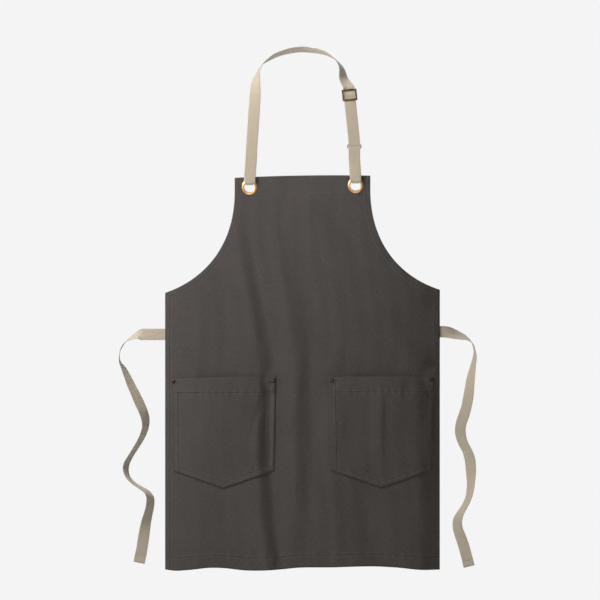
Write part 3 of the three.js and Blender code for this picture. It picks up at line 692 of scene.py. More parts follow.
def between(tree, value, low, high, to_low=0.0, to_high=1.0):
    feeds = {"Value": value, "From Min": low, "From Max": high, "To Min": to_low, "To Max": to_high}
    return wire(tree, "ShaderNodeMapRange", feeds).outputs["Result"]


def tint(tree, share, one, other, blend="MIX"):
    feeds = {0: share, 6: one, 7: other}
    node = wire(tree, "ShaderNodeMix", feeds, data_type="RGBA", blend_type=blend)
    return node.outputs[2]


def wash(tree, colour, mask, share, over):
    """Lays a second colour over the first where the mask is high, at a share of full strength."""
    return tint(tree, reckon(tree, "MULTIPLY", mask, share), colour, over)


def new_group(name, inputs, outputs, kind="ShaderNodeTree"):
    """A node group with named sockets; returns the tree, its input sockets and its output node."""
    tree = bpy.data.node_groups.new(name, kind)
    for label, socket, default in inputs:
        made = tree.interface.new_socket(name=label, in_out="INPUT", socket_type=socket)
        if default is not None:
            made.default_value = default
    for label, socket in outputs:
        tree.interface.new_socket(name=label, in_out="OUTPUT", socket_type=socket)
    source = tree.nodes.new("NodeGroupInput")
    return tree, source.outputs, tree.nodes.new("NodeGroupOutput")


def stretched_noise(tree, vector, stretch, detail=3.0, roughness=0.55):
    scaled = wire(tree, "ShaderNodeVectorMath", {0: vector, 1: stretch}, operation="MULTIPLY")
    feeds = {"Vector": scaled.outputs[0], "Scale": 1.0, "Detail": detail, "Roughness": roughness}
    return wire(tree, "ShaderNodeTexNoise", feeds).outputs["Fac"]


def plain_weave():
    """Height of a plain weave: each yarn goes over one and under the next."""
    tree, given, out = new_group(
        "Plain weave",
        [("Vector", "NodeSocketVector", None), ("Pitch", "NodeSocketFloat", 0.0009)],
        [("Height", "NodeSocketFloat")],
    )
    count = reckon(tree, "DIVIDE", 1.0, given["Pitch"])
    feeds = {0: given["Vector"], "Scale": count}
    scaled = wire(tree, "ShaderNodeVectorMath", feeds, operation="SCALE").outputs[0]
    flat = wire(tree, "ShaderNodeSeparateXYZ", {0: scaled}).outputs
    arcs = []
    for axis in (0, 1):
        part = reckon(tree, "FRACT", flat[axis])
        arcs.append(reckon(tree, "SINE", reckon(tree, "MULTIPLY", part, math.pi)))
    cells = reckon(
        tree, "ADD", reckon(tree, "FLOOR", flat[0]), reckon(tree, "FLOOR", flat[1])
    )
    over = reckon(tree, "FLOORED_MODULO", cells, 2.0)
    faces = []
    for one, other in (arcs, reversed(arcs)):
        crown = reckon(tree, "MULTIPLY_ADD", other, 0.55, 0.45)
        faces.append(reckon(tree, "MULTIPLY", one, crown))
    lifted = reckon(tree, "MULTIPLY", reckon(tree, "SUBTRACT", faces[0], faces[1]), over)
    height = reckon(tree, "ADD", faces[1], lifted)
    tree.links.new(height, out.inputs["Height"])
    return tree


def herringbone_weave():
    """Height of a twill that turns back on itself in narrow bands across a webbing."""
    tree, given, out = new_group(
        "Herringbone weave",
        [("Vector", "NodeSocketVector", None), ("Pitch", "NodeSocketFloat", 0.0016),
         ("Band", "NodeSocketFloat", 0.003)],
        [("Height", "NodeSocketFloat"), ("Rib", "NodeSocketFloat")],
    )
    flat = wire(tree, "ShaderNodeSeparateXYZ", {0: given["Vector"]}).outputs
    shifted = reckon(tree, "ADD", flat[0], 0.1)
    zigzag = reckon(tree, "PINGPONG", shifted, given["Band"])
    slant = reckon(tree, "DIVIDE", reckon(tree, "ADD", flat[1], zigzag), given["Pitch"])
    wave = reckon(tree, "SINE", reckon(tree, "MULTIPLY", slant, 2 * math.pi))
    yarn = reckon(tree, "SINE", reckon(tree, "MULTIPLY", flat[0], 2 * math.pi / 0.00085))
    twill = reckon(tree, "MULTIPLY_ADD", wave, 0.35, 0.5)
    height = reckon(tree, "MULTIPLY_ADD", yarn, 0.15, twill)
    turn = reckon(tree, "DIVIDE", zigzag, given["Band"])
    edge = reckon(tree, "ABSOLUTE", reckon(tree, "MULTIPLY_ADD", turn, 2.0, -1.0))
    rib = reckon(tree, "POWER", edge, 8.0)
    tree.links.new(height, out.inputs["Height"])
    tree.links.new(rib, out.inputs["Rib"])
    return tree


def yarn_slubs():
    """Thick and thin places in the yarns, drawn out along both of them."""
    tree, given, out = new_group(
        "Yarn slubs",
        [("Vector", "NodeSocketVector", None), ("Length", "NodeSocketFloat", 0.008),
         ("Thickness", "NodeSocketFloat", 0.0014)],
        [("Slubs", "NodeSocketFloat"), ("Mottle", "NodeSocketFloat"), ("Cloud", "NodeSocketFloat")],
    )
    long_way = reckon(tree, "DIVIDE", 1.0, given["Length"])
    short_way = reckon(tree, "DIVIDE", 1.0, given["Thickness"])
    runs = []
    for x, y, z in ((short_way, long_way, 0.0), (long_way, short_way, 7.0)):
        stretch = wire(tree, "ShaderNodeCombineXYZ", {0: x, 1: y, 2: 1.0}).outputs[0]
        moved = wire(
            tree, "ShaderNodeVectorMath", {0: given["Vector"], 1: (0, 0, z)}, operation="ADD"
        ).outputs[0]
        runs.append(stretched_noise(tree, moved, stretch, 1.5))
    slubs = reckon(tree, "MULTIPLY", reckon(tree, "ADD", runs[0], runs[1]), 0.5)
    tree.links.new(between(tree, slubs, 0.36, 0.66), out.inputs["Slubs"])
    mottle = stretched_noise(tree, given["Vector"], (190, 150, 1), 4.0, 0.6)
    tree.links.new(between(tree, mottle, 0.3, 0.7), out.inputs["Mottle"])
    cloud = stretched_noise(tree, given["Vector"], (17, 14, 1), 3.0)
    tree.links.new(between(tree, cloud, 0.3, 0.7), out.inputs["Cloud"])
    return tree


def sewn_line():
    """A groove where a line of stitches pulls the cloth in, At a distance from an edge."""
    tree, given, out = new_group(
        "Sewn line",
        [("Gap", "NodeSocketFloat", 0.0), ("At", "NodeSocketFloat", 0.01),
         ("Width", "NodeSocketFloat", 0.0012)],
        [("Groove", "NodeSocketFloat"), ("Swell", "NodeSocketFloat")],
    )
    for socket, spread_by in (("Groove", 1.0), ("Swell", 3.2)):
        away = reckon(tree, "SUBTRACT", given["Gap"], given["At"])
        away = reckon(tree, "DIVIDE", away, reckon(tree, "MULTIPLY", given["Width"], spread_by))
        square = reckon(tree, "MULTIPLY", away, away)
        near = reckon(tree, "EXPONENT", reckon(tree, "MULTIPLY", square, -1.0))
        tree.links.new(near, out.inputs[socket])
    return tree


def handled_metal():
    """Smudges, fine scratches and dark settled patches on handled brass."""
    tree, given, out = new_group(
        "Handled metal",
        [("Vector", "NodeSocketVector", None), ("Scale", "NodeSocketFloat", 1.0)],
        [("Smudge", "NodeSocketFloat"), ("Scratch", "NodeSocketFloat"),
         ("Patina", "NodeSocketFloat")],
    )
    feeds = {0: given["Vector"], "Scale": given["Scale"]}
    at = wire(tree, "ShaderNodeVectorMath", feeds, operation="SCALE").outputs[0]
    smudge = between(tree, stretched_noise(tree, at, (210, 210, 210), 4.0), 0.35, 0.7)
    scratch = stretched_noise(tree, at, (2600, 2600, 260), 2.0)
    patina = between(tree, stretched_noise(tree, at, (95, 95, 120), 5.0, 0.65), 0.42, 0.62)
    for label, value in (("Smudge", smudge), ("Scratch", scratch), ("Patina", patina)):
        tree.links.new(value, out.inputs[label])
    return tree


GROUPS = {}


def place_group(tree, maker, feeds):
    """Places a shared group in a material, building it the first time."""
    if maker not in GROUPS:
        GROUPS[maker] = maker()
    return wire(tree, "ShaderNodeGroup", feeds, node_tree=GROUPS[maker]).outputs


def new_material(name, roughness, metallic=0.0, sheen=0.0):
    material = bpy.data.materials.new(name)
    material.use_nodes = True
    tree = material.node_tree
    shader = tree.nodes["Principled BSDF"]
    feed(tree, shader, {"Roughness": roughness, "Metallic": metallic, "Sheen Weight": sheen,
                        "Sheen Roughness": 0.6})
    return material, tree, shader


def raise_surface(tree, shader, height, distance, strength=1.0):
    feeds = {"Height": height, "Distance": distance, "Strength": strength}
    bump = wire(tree, "ShaderNodeBump", feeds).outputs["Normal"]
    tree.links.new(bump, shader.inputs["Normal"])


def shade(colour, share):
    return tuple(part * share for part in colour[:3]) + (1.0,)


# ---- Finishes --------------------------------------------------------------------------------

def canvas_finish(name, side_rows, top_rows, hem_rows):
    """Washed canvas: a plain weave with slubs, clouds of wear, painted shade in the weave's hollows,
    and the lines where it is sewn, with painted shade in their grooves and a painted highlight on
    the cloth that swells beside them.
    """
    sizes = bpy.context.scene.apron_canvas
    material, tree, shader = new_material(name, 0.92, sheen=0.03)
    cut = wire(tree, "ShaderNodeUVMap", uv_map="Cut").outputs[0]
    weave = place_group(tree, plain_weave, {"Vector": cut, "Pitch": sizes.yarn_pitch})
    yarn = place_group(tree, yarn_slubs, {"Vector": cut})
    colour = sizes.colour
    mixed = tint(tree, yarn["Slubs"], shade(colour, 0.66), shade(colour, 1.36))
    mixed = wash(tree, mixed, yarn["Mottle"], 0.5, shade(colour, 1.12))
    mixed = wash(tree, mixed, yarn["Cloud"], 0.28, shade(colour, 1.5))
    # painted shade: darker colour in the hollows between the yarns, lighter on their tops
    weave_shade = reckon(tree, "MULTIPLY_ADD", weave["Height"], 0.5, 0.62)
    painted_weave_shade = wire(tree, "ShaderNodeCombineColor", {0: weave_shade, 1: weave_shade, 2: weave_shade}).outputs[0]
    mixed = tint(tree, 1.0, mixed, painted_weave_shade, "MULTIPLY")
    grooves = []
    swells = []
    for mark, rows in (("side_gap", side_rows), ("top_gap", top_rows), ("hem_gap", hem_rows)):
        gap = wire(tree, "ShaderNodeAttribute", attribute_name=mark).outputs["Fac"]
        for row in rows:
            line = place_group(tree, sewn_line, {"Gap": gap, "At": row, "Width": 0.0011})
            grooves.append(line["Groove"])
            swells.append(line["Swell"])
        # a darker, lower band along each edge of the cloth
        edge_band = place_group(tree, sewn_line, {"Gap": gap, "At": 0.0, "Width": 0.0016})
        grooves.append(reckon(tree, "MULTIPLY", edge_band["Groove"], 0.3))
    groove = greatest(tree, grooves)
    swell = greatest(tree, swells)
    # painted highlight on the cloth that swells beside each line of stitches
    painted_seam_highlight = reckon(tree, "MULTIPLY", reckon(tree, "SUBTRACT", swell, groove, clamp=True), 0.45)
    mixed = tint(tree, painted_seam_highlight, mixed, shade(colour, 1.6))
    # painted shade in the grooves of the seams; the band along each edge is darkened with them
    mixed = wash(tree, mixed, groove, 0.6, shade(colour, 0.4))
    tree.links.new(mixed, shader.inputs["Base Color"])
    rough = between(tree, yarn["Mottle"], 0.0, 1.0, 0.84, 0.97)
    tree.links.new(rough, shader.inputs["Roughness"])
    height = reckon(tree, "MULTIPLY", weave["Height"], 0.5)
    height = reckon(tree, "MULTIPLY_ADD", yarn["Slubs"], 0.9, height)
    height = reckon(tree, "MULTIPLY_ADD", yarn["Mottle"], 0.8, height)
    height = reckon(tree, "MULTIPLY_ADD", swell, 1.4, height)
    height = reckon(tree, "MULTIPLY_ADD", groove, -2.4, height)
    raise_surface(tree, shader, height, 0.00028)
    return material


def webbing_finish(name, colour):
    """Natural cotton webbing in a herringbone, with painted shade in the weave's hollows and along
    its ribs, duller where it has been handled.
    """
    material, tree, shader = new_material(name, 0.9, sheen=0.25)
    cut = wire(tree, "ShaderNodeUVMap", uv_map="Cut").outputs[0]
    weave = place_group(tree, herringbone_weave, {"Vector": cut})
    feeds = {"Vector": cut, "Length": 0.006, "Thickness": 0.0008}
    yarn = place_group(tree, yarn_slubs, feeds)
    # painted shade: the weave's hollows darker and its raised yarns lighter
    mixed = tint(tree, weave["Height"], shade(colour, 0.72), shade(colour, 1.12))
    yellowed = (colour[0] * 0.86, colour[1] * 0.8, colour[2] * 0.7, 1)
    mixed = wash(tree, mixed, yarn["Slubs"], 0.35, shade(colour, 1.22))
    mixed = wash(tree, mixed, yarn["Cloud"], 0.3, yellowed)
    # painted shade along the ribs where the twill turns back
    mixed = wash(tree, mixed, weave["Rib"], 0.25, shade(colour, 0.6))
    across = wire(tree, "ShaderNodeSeparateXYZ", {0: cut}).outputs[0]
    edge = between(tree, reckon(tree, "ABSOLUTE", across), 0.0108, 0.0124)
    mixed = wash(tree, mixed, edge, 0.3, shade(colour, 0.62))
    tree.links.new(mixed, shader.inputs["Base Color"])
    rough = between(tree, yarn["Mottle"], 0.0, 1.0, 0.8, 0.95)
    tree.links.new(rough, shader.inputs["Roughness"])
    height = reckon(tree, "MULTIPLY_ADD", yarn["Slubs"], 0.4, weave["Height"])
    height = reckon(tree, "MULTIPLY_ADD", weave["Rib"], -0.4, height)
    raise_surface(tree, shader, height, 0.00035)
    return material


def brass_finish(name, colour, dark, roughness, patina):
    """Plated or antiqued brass with smudges, scratches, dark patches of patina, and darker where its
    darkening mark is high.
    """
    material, tree, shader = new_material(name, roughness, metallic=1.0)
    at = wire(tree, "ShaderNodeTexCoord").outputs["Object"]
    edge_band = place_group(tree, handled_metal, {"Vector": at, "Scale": 1.0})
    share = reckon(tree, "MULTIPLY", edge_band["Patina"], patina)
    mixed = tint(tree, share, tuple(colour) + (1.0,), tuple(dark) + (1.0,))
    mixed = wash(tree, mixed, edge_band["Smudge"], 0.25, shade(colour, 0.7))
    darkening = wire(tree, "ShaderNodeAttribute", attribute_name="darkening").outputs["Fac"]
    # darker where the darkening mark is high: outside a rivet's middle, and over the whole ring
    mixed = tint(tree, darkening, mixed, tuple(dark) + (1.0,))
    tree.links.new(mixed, shader.inputs["Base Color"])
    rough = between(tree, edge_band["Smudge"], 0.0, 1.0, roughness * 0.8, min(roughness * 1.5, 0.9))
    tree.links.new(rough, shader.inputs["Roughness"])
    raise_surface(tree, shader, edge_band["Scratch"], 0.00004)
    return material


def thread_finish(name, colour):
    """Twisted sewing thread."""
    material, tree, shader = new_material(name, 0.7, sheen=0.2)
    at = wire(tree, "ShaderNodeTexCoord").outputs["Object"]
    twist = stretched_noise(tree, at, (1900, 1900, 1900), 2.0)
    mixed = tint(tree, twist, shade(colour, 0.7), shade(colour, 1.3))
    tree.links.new(mixed, shader.inputs["Base Color"])
    raise_surface(tree, shader, twist, 0.0001)
    return material


def finish(name):
    """The named finish, made the first time it is asked for."""
    if name in bpy.data.materials:
        return bpy.data.materials[name]
    scene = bpy.context.scene
    if name == "panel canvas":
        seams = [(edge - PANEL_SEAM,) for edge in (SIDE_HEM, FACING, HEM)]
        return canvas_finish(name, *seams)
    if name == "pocket canvas":
        return canvas_finish(name, POCKET_ROWS, (MOUTH_HEM,), POCKET_ROWS)
    if name == "tape canvas":
        return canvas_finish(name, (PANEL_SEAM,), (), ())
    if name == "natural webbing":
        return webbing_finish(name, scene.apron_webbing.colour)
    if name == "bright brass":
        metal = scene.apron_metal
        return brass_finish(name, metal.bright, (0.35, 0.16, 0.06), 0.42, 0.35)
    if name == "antique brass":
        metal = scene.apron_metal
        return brass_finish(name, metal.antique, (0.035, 0.022, 0.012), 0.36, 0.9)
    if name == "black thread":
        return thread_finish(name, scene.apron_stitch.dark)
    if name == "natural thread":
        return thread_finish(name, scene.apron_stitch.light)
    raise ValueError("no finish is called " + name)


# ---- Stitches --------------------------------------------------------------------------------

def stitch_nodes():
    """Threads a row of stitches along each line of an object."""
    tree, given, out = new_group(
        "Row of stitches",
        [("Lines", "NodeSocketGeometry", None), ("Pitch", "NodeSocketFloat", 0.003),
         ("Length", "NodeSocketFloat", 0.0023), ("Thickness", "NodeSocketFloat", 0.0005),
         ("Wander", "NodeSocketFloat", 0.06), ("Seed", "NodeSocketInt", 3),
         ("Thread", "NodeSocketMaterial", None)],
        [("Stitches", "NodeSocketGeometry")],
        "GeometryNodeTree",
    )
    curves = wire(tree, "GeometryNodeMeshToCurve", {"Mesh": given["Lines"]}).outputs[0]
    rows = wire(tree, "GeometryNodeResampleCurve", {"Curve": curves, "Length": given["Pitch"]},
                mode="LENGTH").outputs[0]
    along = wire(tree, "GeometryNodeInputTangent").outputs[0]
    turn = wire(tree, "FunctionNodeAlignRotationToVector", {"Vector": along}, axis="X").outputs[0]
    less = wire(tree, "ShaderNodeMath", {0: given["Wander"], 1: -1.0}, operation="MULTIPLY")
    wander = wire(tree, "FunctionNodeRandomValue", {"Seed": given["Seed"]}, data_type="FLOAT")
    limits = {"Min": less.outputs[0], "Max": given["Wander"]}
    for socket in wander.inputs:
        if socket.type == "VALUE" and socket.enabled and socket.name in limits:
            tree.links.new(limits[socket.name], socket)
    lean = wire(tree, "ShaderNodeCombineXYZ", {2: wander.outputs[1]}).outputs[0]
    leant = wire(tree, "FunctionNodeRotateRotation", {"Rotation": turn, "Rotate By": lean},
                 rotation_space="LOCAL").outputs[0]
    bead = wire(tree, "GeometryNodeMeshUVSphere", {"Segments": 6, "Rings": 4, "Radius": 0.5})
    size = wire(
        tree, "ShaderNodeCombineXYZ",
        {0: given["Length"], 1: given["Thickness"], 2: given["Thickness"]},
    ).outputs[0]
    laid = wire(
        tree, "GeometryNodeInstanceOnPoints",
        {"Points": rows, "Instance": bead.outputs[0], "Rotation": leant, "Scale": size},
    ).outputs[0]
    real = wire(tree, "GeometryNodeRealizeInstances", {0: laid}).outputs[0]
    smooth = wire(tree, "GeometryNodeSetShadeSmooth", {0: real}).outputs[0]
    done = wire(tree, "GeometryNodeSetMaterial", {0: smooth, "Material": given["Thread"]})
    tree.links.new(done.outputs[0], out.inputs[0])
    return tree


def sew(name, lines, thread, body, slot, seed):
    """Sews along lines, each an array of points, and leaves one plain mesh of stitches."""
    points = np.concatenate(lines)
    edges = []
    first = 0
    for line in lines:
        edges += [(first + i, first + i + 1) for i in range(len(line) - 1)]
        first += len(line)
    mesh = bpy.data.meshes.new(name + " lines")
    mesh.from_pydata(points.tolist(), edges, [])
    guide = bpy.data.objects.new(name + " lines", mesh)
    bpy.context.scene.collection.objects.link(guide)
    if "Row of stitches" not in bpy.data.node_groups:
        stitch_nodes()
    tree = bpy.data.node_groups["Row of stitches"]
    rows = guide.modifiers.new("Stitches", "NODES")
    rows.node_group = tree
    sizes = bpy.context.scene.apron_stitch
    values = {"Pitch": sizes.pitch, "Length": sizes.length, "Thickness": sizes.thickness,
              "Wander": 0.07, "Seed": seed, "Thread": thread}
    for item in tree.interface.items_tree:
        if item.item_type == "SOCKET" and item.in_out == "INPUT" and item.name in values:
            rows[item.identifier] = values[item.name]
    graph = bpy.context.evaluated_depsgraph_get()
    sewn = bpy.data.meshes.new_from_object(guide.evaluated_get(graph))
    bpy.data.objects.remove(guide)
    made = bpy.data.objects.new(name, sewn)
    sewn.name = name
    bpy.context.scene.collection.objects.link(made)
    settle(made, body, slot)
    return made


# ---- Cloth places ----------------------------------------------------------------------------

OUTLINE_X, OUTLINE_DROP = outline()
BEHIND = 0.0011  # depth of the pieces sewn to the panel's back, past its own thickness


def side_gap(x, drop):
    """How far a point of the panel is from its side edge or armhole."""
    near = np.full(x.shape, 1.0)
    for at, low in zip(OUTLINE_X, OUTLINE_DROP):
        near = np.minimum(near, np.hypot(np.abs(x) - at, drop - low))
    return near


def panel_marks(x, drop):
    return {"side_gap": side_gap(x, drop), "top_gap": drop, "hem_gap": LENGTH - drop}


def panel_waves(x, drop, half):
    """How the cloth puckers beside the panel's seams, where it is half as wide as half."""
    gap = np.minimum(half - np.abs(x), 0.05)
    depth = pucker(LENGTH - drop - HEM + PANEL_SEAM, x, 0.021, 0.0006)
    depth += pucker(drop - FACING + PANEL_SEAM, x, 0.024, 0.0004)
    low = drop > ARMHOLE[3][1]
    return depth + pucker(gap - SIDE_HEM + PANEL_SEAM, drop, 0.023, 0.0004) * low


def panel_place(u, v):
    k = np.rint(v * (len(OUTLINE_X) - 1)).astype(int)
    half, drop = OUTLINE_X[k], OUTLINE_DROP[k]
    x = u * half
    return x, drop, panel_waves(x, drop, half)


def behind_panel(x, drop):
    return x, drop, np.full(x.shape, BEHIND)


def facing_place(u, v):
    return behind_panel(u * (BIB_HALF - 0.002), 0.002 + v * (FACING - 0.002))


def hem_place(u, v):
    return behind_panel(u * (HALF - 0.001), LENGTH - 0.0008 - (1 - v) * (HEM - 0.0008))


def side_hem_place(side):
    def place(u, v):
        x = side * (HALF - 0.0008 - SIDE_HEM / 2) + u * (SIDE_HEM / 2 - 0.0002)
        top = ARMHOLE[3][1] + 0.008
        return behind_panel(x, top + v * (LENGTH - HEM - top - 0.001))
    return place


def tape_place(side):
    def place(u, v):
        x, drop = armhole_at(0.115 + v * 0.875, 0.001 + (1 - side * u) / 2 * TAPE_WIDTH)
        return behind_panel(side * x, drop)
    return place


def pocket_across(side, u, v):
    return side * POCKET_CENTRE + u * (POCKET_HALF - POCKET_TAPER * v)


def pocket_creases(side, u, v):
    """Creases in a pocket besides those that it shares with the panel."""
    if side < 0:
        deep = 0.003 * smoothstep((u - 0.62) / 0.3) * smoothstep(v / 0.2)
        slant = u - 0.62 + 0.5 * (v - 0.42)
        deep += 0.0022 * np.exp(-((slant / 0.07) ** 2)) * np.exp(-(((v - 0.38) / 0.18) ** 2))
    else:
        deep = 0.0028 * smoothstep((u + 0.02) / 0.12) * np.exp(-(((v - 0.4) / 0.3) ** 2))
        deep -= 0.0028 * smoothstep((u - 0.25) / 0.5) * np.exp(-(((v - 0.4) / 0.3) ** 2))
        deep += 0.002 * np.exp(-(((u - 0.48) / 0.1) ** 2)) * np.exp(-(((v - 0.13) / 0.1) ** 2))
    free = smoothstep((1 - np.abs(u)) / 0.16) * smoothstep((1 - v) / 0.12)
    return deep * free


def pocket_gaps(side, x, drop):
    u = (x - side * POCKET_CENTRE) / POCKET_HALF
    reach = POCKET_SIDE + POCKET_POINT * (1 - np.abs(u))
    v = (drop - POCKET_DROP) / reach
    side_way = POCKET_HALF - POCKET_TAPER * v - np.abs(x - side * POCKET_CENTRE)
    lean = math.cos(math.atan(POCKET_POINT / POCKET_HALF))
    return side_way, drop - POCKET_DROP, (POCKET_DROP + reach - drop) * lean, v


def pocket_depth(side, u, v, drop):
    """Depth of a pocket's front face: its mouth stands off the panel, its turned-in edges are
    a little thicker."""
    gape = 0.0085 * (1 - u * u) ** 2 * (1 - v**3)
    side_way, top_way, low_way, _ = pocket_gaps(side, pocket_across(side, u, v), drop)
    turned = np.maximum(smoothstep((0.0145 - side_way) / 0.003),
                        smoothstep((0.0145 - low_way) / 0.003))
    turned = np.maximum(turned, smoothstep((MOUTH_HEM + 0.0005 - top_way) / 0.003))
    x = pocket_across(side, u, v)
    waves = pucker(top_way - MOUTH_HEM, x, 0.017, 0.0006)
    waves += pucker(side_way - 0.0135, drop, 0.019, 0.0004)
    waves += pucker(low_way - 0.0135, x, 0.018, 0.0004)
    return -0.0014 - gape - 0.0005 * turned + waves + pocket_creases(side, u, v)


def pocket_place(side):
    def place(u, v):
        reach = POCKET_SIDE + POCKET_POINT * (1 - np.abs(u))
        drop = POCKET_DROP + v * reach
        depth = pocket_depth(side, u, v, drop)
        # the mouth hangs a little out of level
        lift = (0.0006 + 0.0018 * u) if side < 0 else (-0.0006 - 0.0016 * u)
        return pocket_across(side, u, v), drop - lift * (1 - v) ** 4, depth
    return place


def pocket_marks(side):
    def marks(x, drop):
        side_way, top_way, low_way, _ = pocket_gaps(side, x, drop)
        return {"side_gap": side_way, "top_gap": top_way, "hem_gap": low_way}
    return marks


def mouth_hem_place(side):
    def place(u, v):
        within = u * 0.975
        drop = POCKET_DROP + 0.001 + v * (MOUTH_HEM - 0.001)
        reach = POCKET_SIDE + POCKET_POINT * (1 - np.abs(within))
        share = (drop - POCKET_DROP) / reach
        depth = pocket_depth(side, within, share, drop) + 0.0010
        return pocket_across(side, within, share), drop, depth
    return place


def pocket_line(side, x, drop, lift=THREAD_LIFT):
    """Points along a pocket's front face through x and drop."""
    reach = POCKET_SIDE + POCKET_POINT * (1 - np.abs(x - side * POCKET_CENTRE) / POCKET_HALF)
    v = np.clip((drop - POCKET_DROP) / reach, 0, 1)
    u = np.clip((x - side * POCKET_CENTRE) / (POCKET_HALF - POCKET_TAPER * v), -1, 1)
    return hang_at(x, drop, pocket_depth(side, u, v, drop) - lift)


# ---- Sizes and colours a user may change -----------------------------------------------------

class ApronCanvas(PropertyGroup):
    thickness: FloatProperty(
        name="Thickness", description="Thickness of the panel's cloth",
        default=0.0009, min=0.0003, max=0.003, unit="LENGTH")
    yarn_pitch: FloatProperty(
        name="Yarn pitch", description="Distance between neighbouring yarns of the weave",
        default=0.0009, min=0.0003, max=0.004, unit="LENGTH")
    folds: FloatProperty(
        name="Folds", description="How deep the folds hang, as a share of the usual depth",
        default=1.0, min=0.0, max=1.3, subtype="FACTOR")
    colour: FloatVectorProperty(
        name="Canvas", description="Colour of the washed black canvas",
        default=(0.0500, 0.0418, 0.0368), size=3, min=0, max=1, subtype="COLOR")


class ApronWebbing(PropertyGroup):
    width: FloatProperty(
        name="Width", description="Width of the webbing",
        default=0.025, min=0.015, max=0.04, unit="LENGTH")
    colour: FloatVectorProperty(
        name="Webbing", description="Colour of the undyed cotton webbing",
        default=(0.418, 0.358, 0.268), size=3, min=0, max=1, subtype="COLOR")


class ApronStitch(PropertyGroup):
    pitch: FloatProperty(
        name="Pitch", description="Distance from one stitch to the next",
        default=0.003, min=0.0015, max=0.006, unit="LENGTH")
    length: FloatProperty(
        name="Length", description="Length of thread that shows in each stitch",
        default=0.0023, min=0.001, max=0.005, unit="LENGTH")
    thickness: FloatProperty(
        name="Thickness", description="Thickness of the thread",
        default=0.0006, min=0.0002, max=0.0015, unit="LENGTH")
    dark: FloatVectorProperty(
        name="Canvas thread", description="Colour of the thread in the canvas",
        default=(0.031, 0.028, 0.026), size=3, min=0, max=1, subtype="COLOR")
    light: FloatVectorProperty(
        name="Webbing thread", description="Colour of the thread in the webbing",
        default=(0.30, 0.235, 0.16), size=3, min=0, max=1, subtype="COLOR")


class ApronMetal(PropertyGroup):
    bright: FloatVectorProperty(
        name="Eyelets", description="Colour of the bright brass eyelets",
        default=(0.74, 0.44, 0.19), size=3, min=0, max=1, subtype="COLOR")
    antique: FloatVectorProperty(
        name="Fittings", description="Colour of the antiqued slider, ring and rivets",
        default=(0.21, 0.116, 0.05), size=3, min=0, max=1, subtype="COLOR")


class ApronStage(PropertyGroup):
    key: FloatProperty(
        name="Key light", description="Power of the soft light on the left",
        default=54.0, min=0, max=1000, unit="POWER")
    fill: FloatProperty(
        name="Fill", description="Strength of the light from all round",
        default=0.30, min=0, max=3)


# ---- Operators -------------------------------------------------------------------------------

def aim(made, at, target):
    made.location = at
    made.rotation_mode = "QUATERNION"
    made.rotation_quaternion = (Vector(target) - Vector(at)).to_track_quat("-Z", "Y")


# Where the camera and the lights stand, in metres. Each light has its share of the key light's
# power, its width, its place, what it is aimed at and how wide its beam spreads, in degrees.
VIEW_CENTRE = (-0.00545, FRONT, -0.5406)
VIEW_DISTANCE = 24
VIEW_LENS = 660
FLOOR_HEIGHT = -1.9
FLOOR_RADIUS = 2.4
BODY = (0, 0, -0.45)
LIGHTS = {
    "Key light": (1, 0.8, (-1.4, -1.1, 0.6), BODY, 180),
    "Front light": (0.35, 2.5, (-0.6, -5.0, 0.6), BODY, 180),
    "Low light": (0.0042, 0.3, (0.0, -1.25, -1.8), (0, 0, 0.08), 20),
    "Back light": (0.9, 2.0, (1.3, 3.8, 0.5), BODY, 180),
    "Top light": (1.2, 3.0, (0.2, 1.2, 4.4), (0, 0.3, FLOOR_HEIGHT), 100),
}


def place_camera(scene):
    lens = bpy.data.cameras.new("Camera")
    lens.lens = VIEW_LENS
    lens.sensor_width = 36
    camera = bpy.data.objects.new("Camera", lens)
    scene.collection.objects.link(camera)
    aim(camera, Vector(VIEW_CENTRE) - Vector((0, VIEW_DISTANCE, 0)), VIEW_CENTRE)
    scene.camera = camera
    scene.view_settings.view_transform = "Standard"


def light_room(scene):
    """An even pale background that lights the apron from below and in front."""
    world = bpy.data.worlds.new("Soft room")
    scene.world = world
    world.use_nodes = True
    tree = world.node_tree
    seen = wire(tree, "ShaderNodeLightPath").outputs["Is Camera Ray"]
    way = wire(tree, "ShaderNodeTexCoord").outputs["Generated"]
    feeds = {0: way, 1: (-0.1, -0.5, -0.86)}
    low = wire(tree, "ShaderNodeVectorMath", feeds, operation="DOT_PRODUCT").outputs["Value"]
    fill = between(tree, low, -1.0, 1.0, 0.0, scene.apron_stage.fill * 2)
    glow = reckon(tree, "MAXIMUM", seen, fill)
    room = {"Color": (0.905, 0.905, 0.905, 1), "Strength": glow}
    feed(tree, tree.nodes["Background"], room)
    for name, (share, size, at, target, beam) in LIGHTS.items():
        lamp = bpy.data.lights.new(name, "AREA")
        lamp.energy = scene.apron_stage.key * share
        lamp.shape = "DISK"
        lamp.size = size
        lamp.spread = math.radians(beam)
        made = bpy.data.objects.new(name, lamp)
        scene.collection.objects.link(made)
        aim(made, at, target)


def lay_floor():
    turn = np.linspace(0, 2 * math.pi, 96, endpoint=False)
    height = np.full(96, FLOOR_HEIGHT)
    rim = np.stack([FLOOR_RADIUS * np.cos(turn), FLOOR_RADIUS * np.sin(turn), height], axis=-1)
    pale, tree, shader = new_material("Pale floor", 0.8)
    at = wire(tree, "ShaderNodeTexCoord").outputs["Object"]
    cloud = stretched_noise(tree, at, (1.2, 1.2, 1.2))
    colour = tint(tree, cloud, (0.82, 0.82, 0.82, 1), (0.86, 0.86, 0.86, 1))
    tree.links.new(colour, shader.inputs["Base Color"])
    new_object("Floor", rim, [range(96)], pale)


class APRON_OT_stage(Operator):
    """Set up the camera, the soft lights and the pale floor"""
    bl_idname = "apron.stage"
    bl_label = "Stage"

    def execute(self, context):
        place_camera(context.scene)
        light_room(context.scene)
        lay_floor()
        return {"FINISHED"}


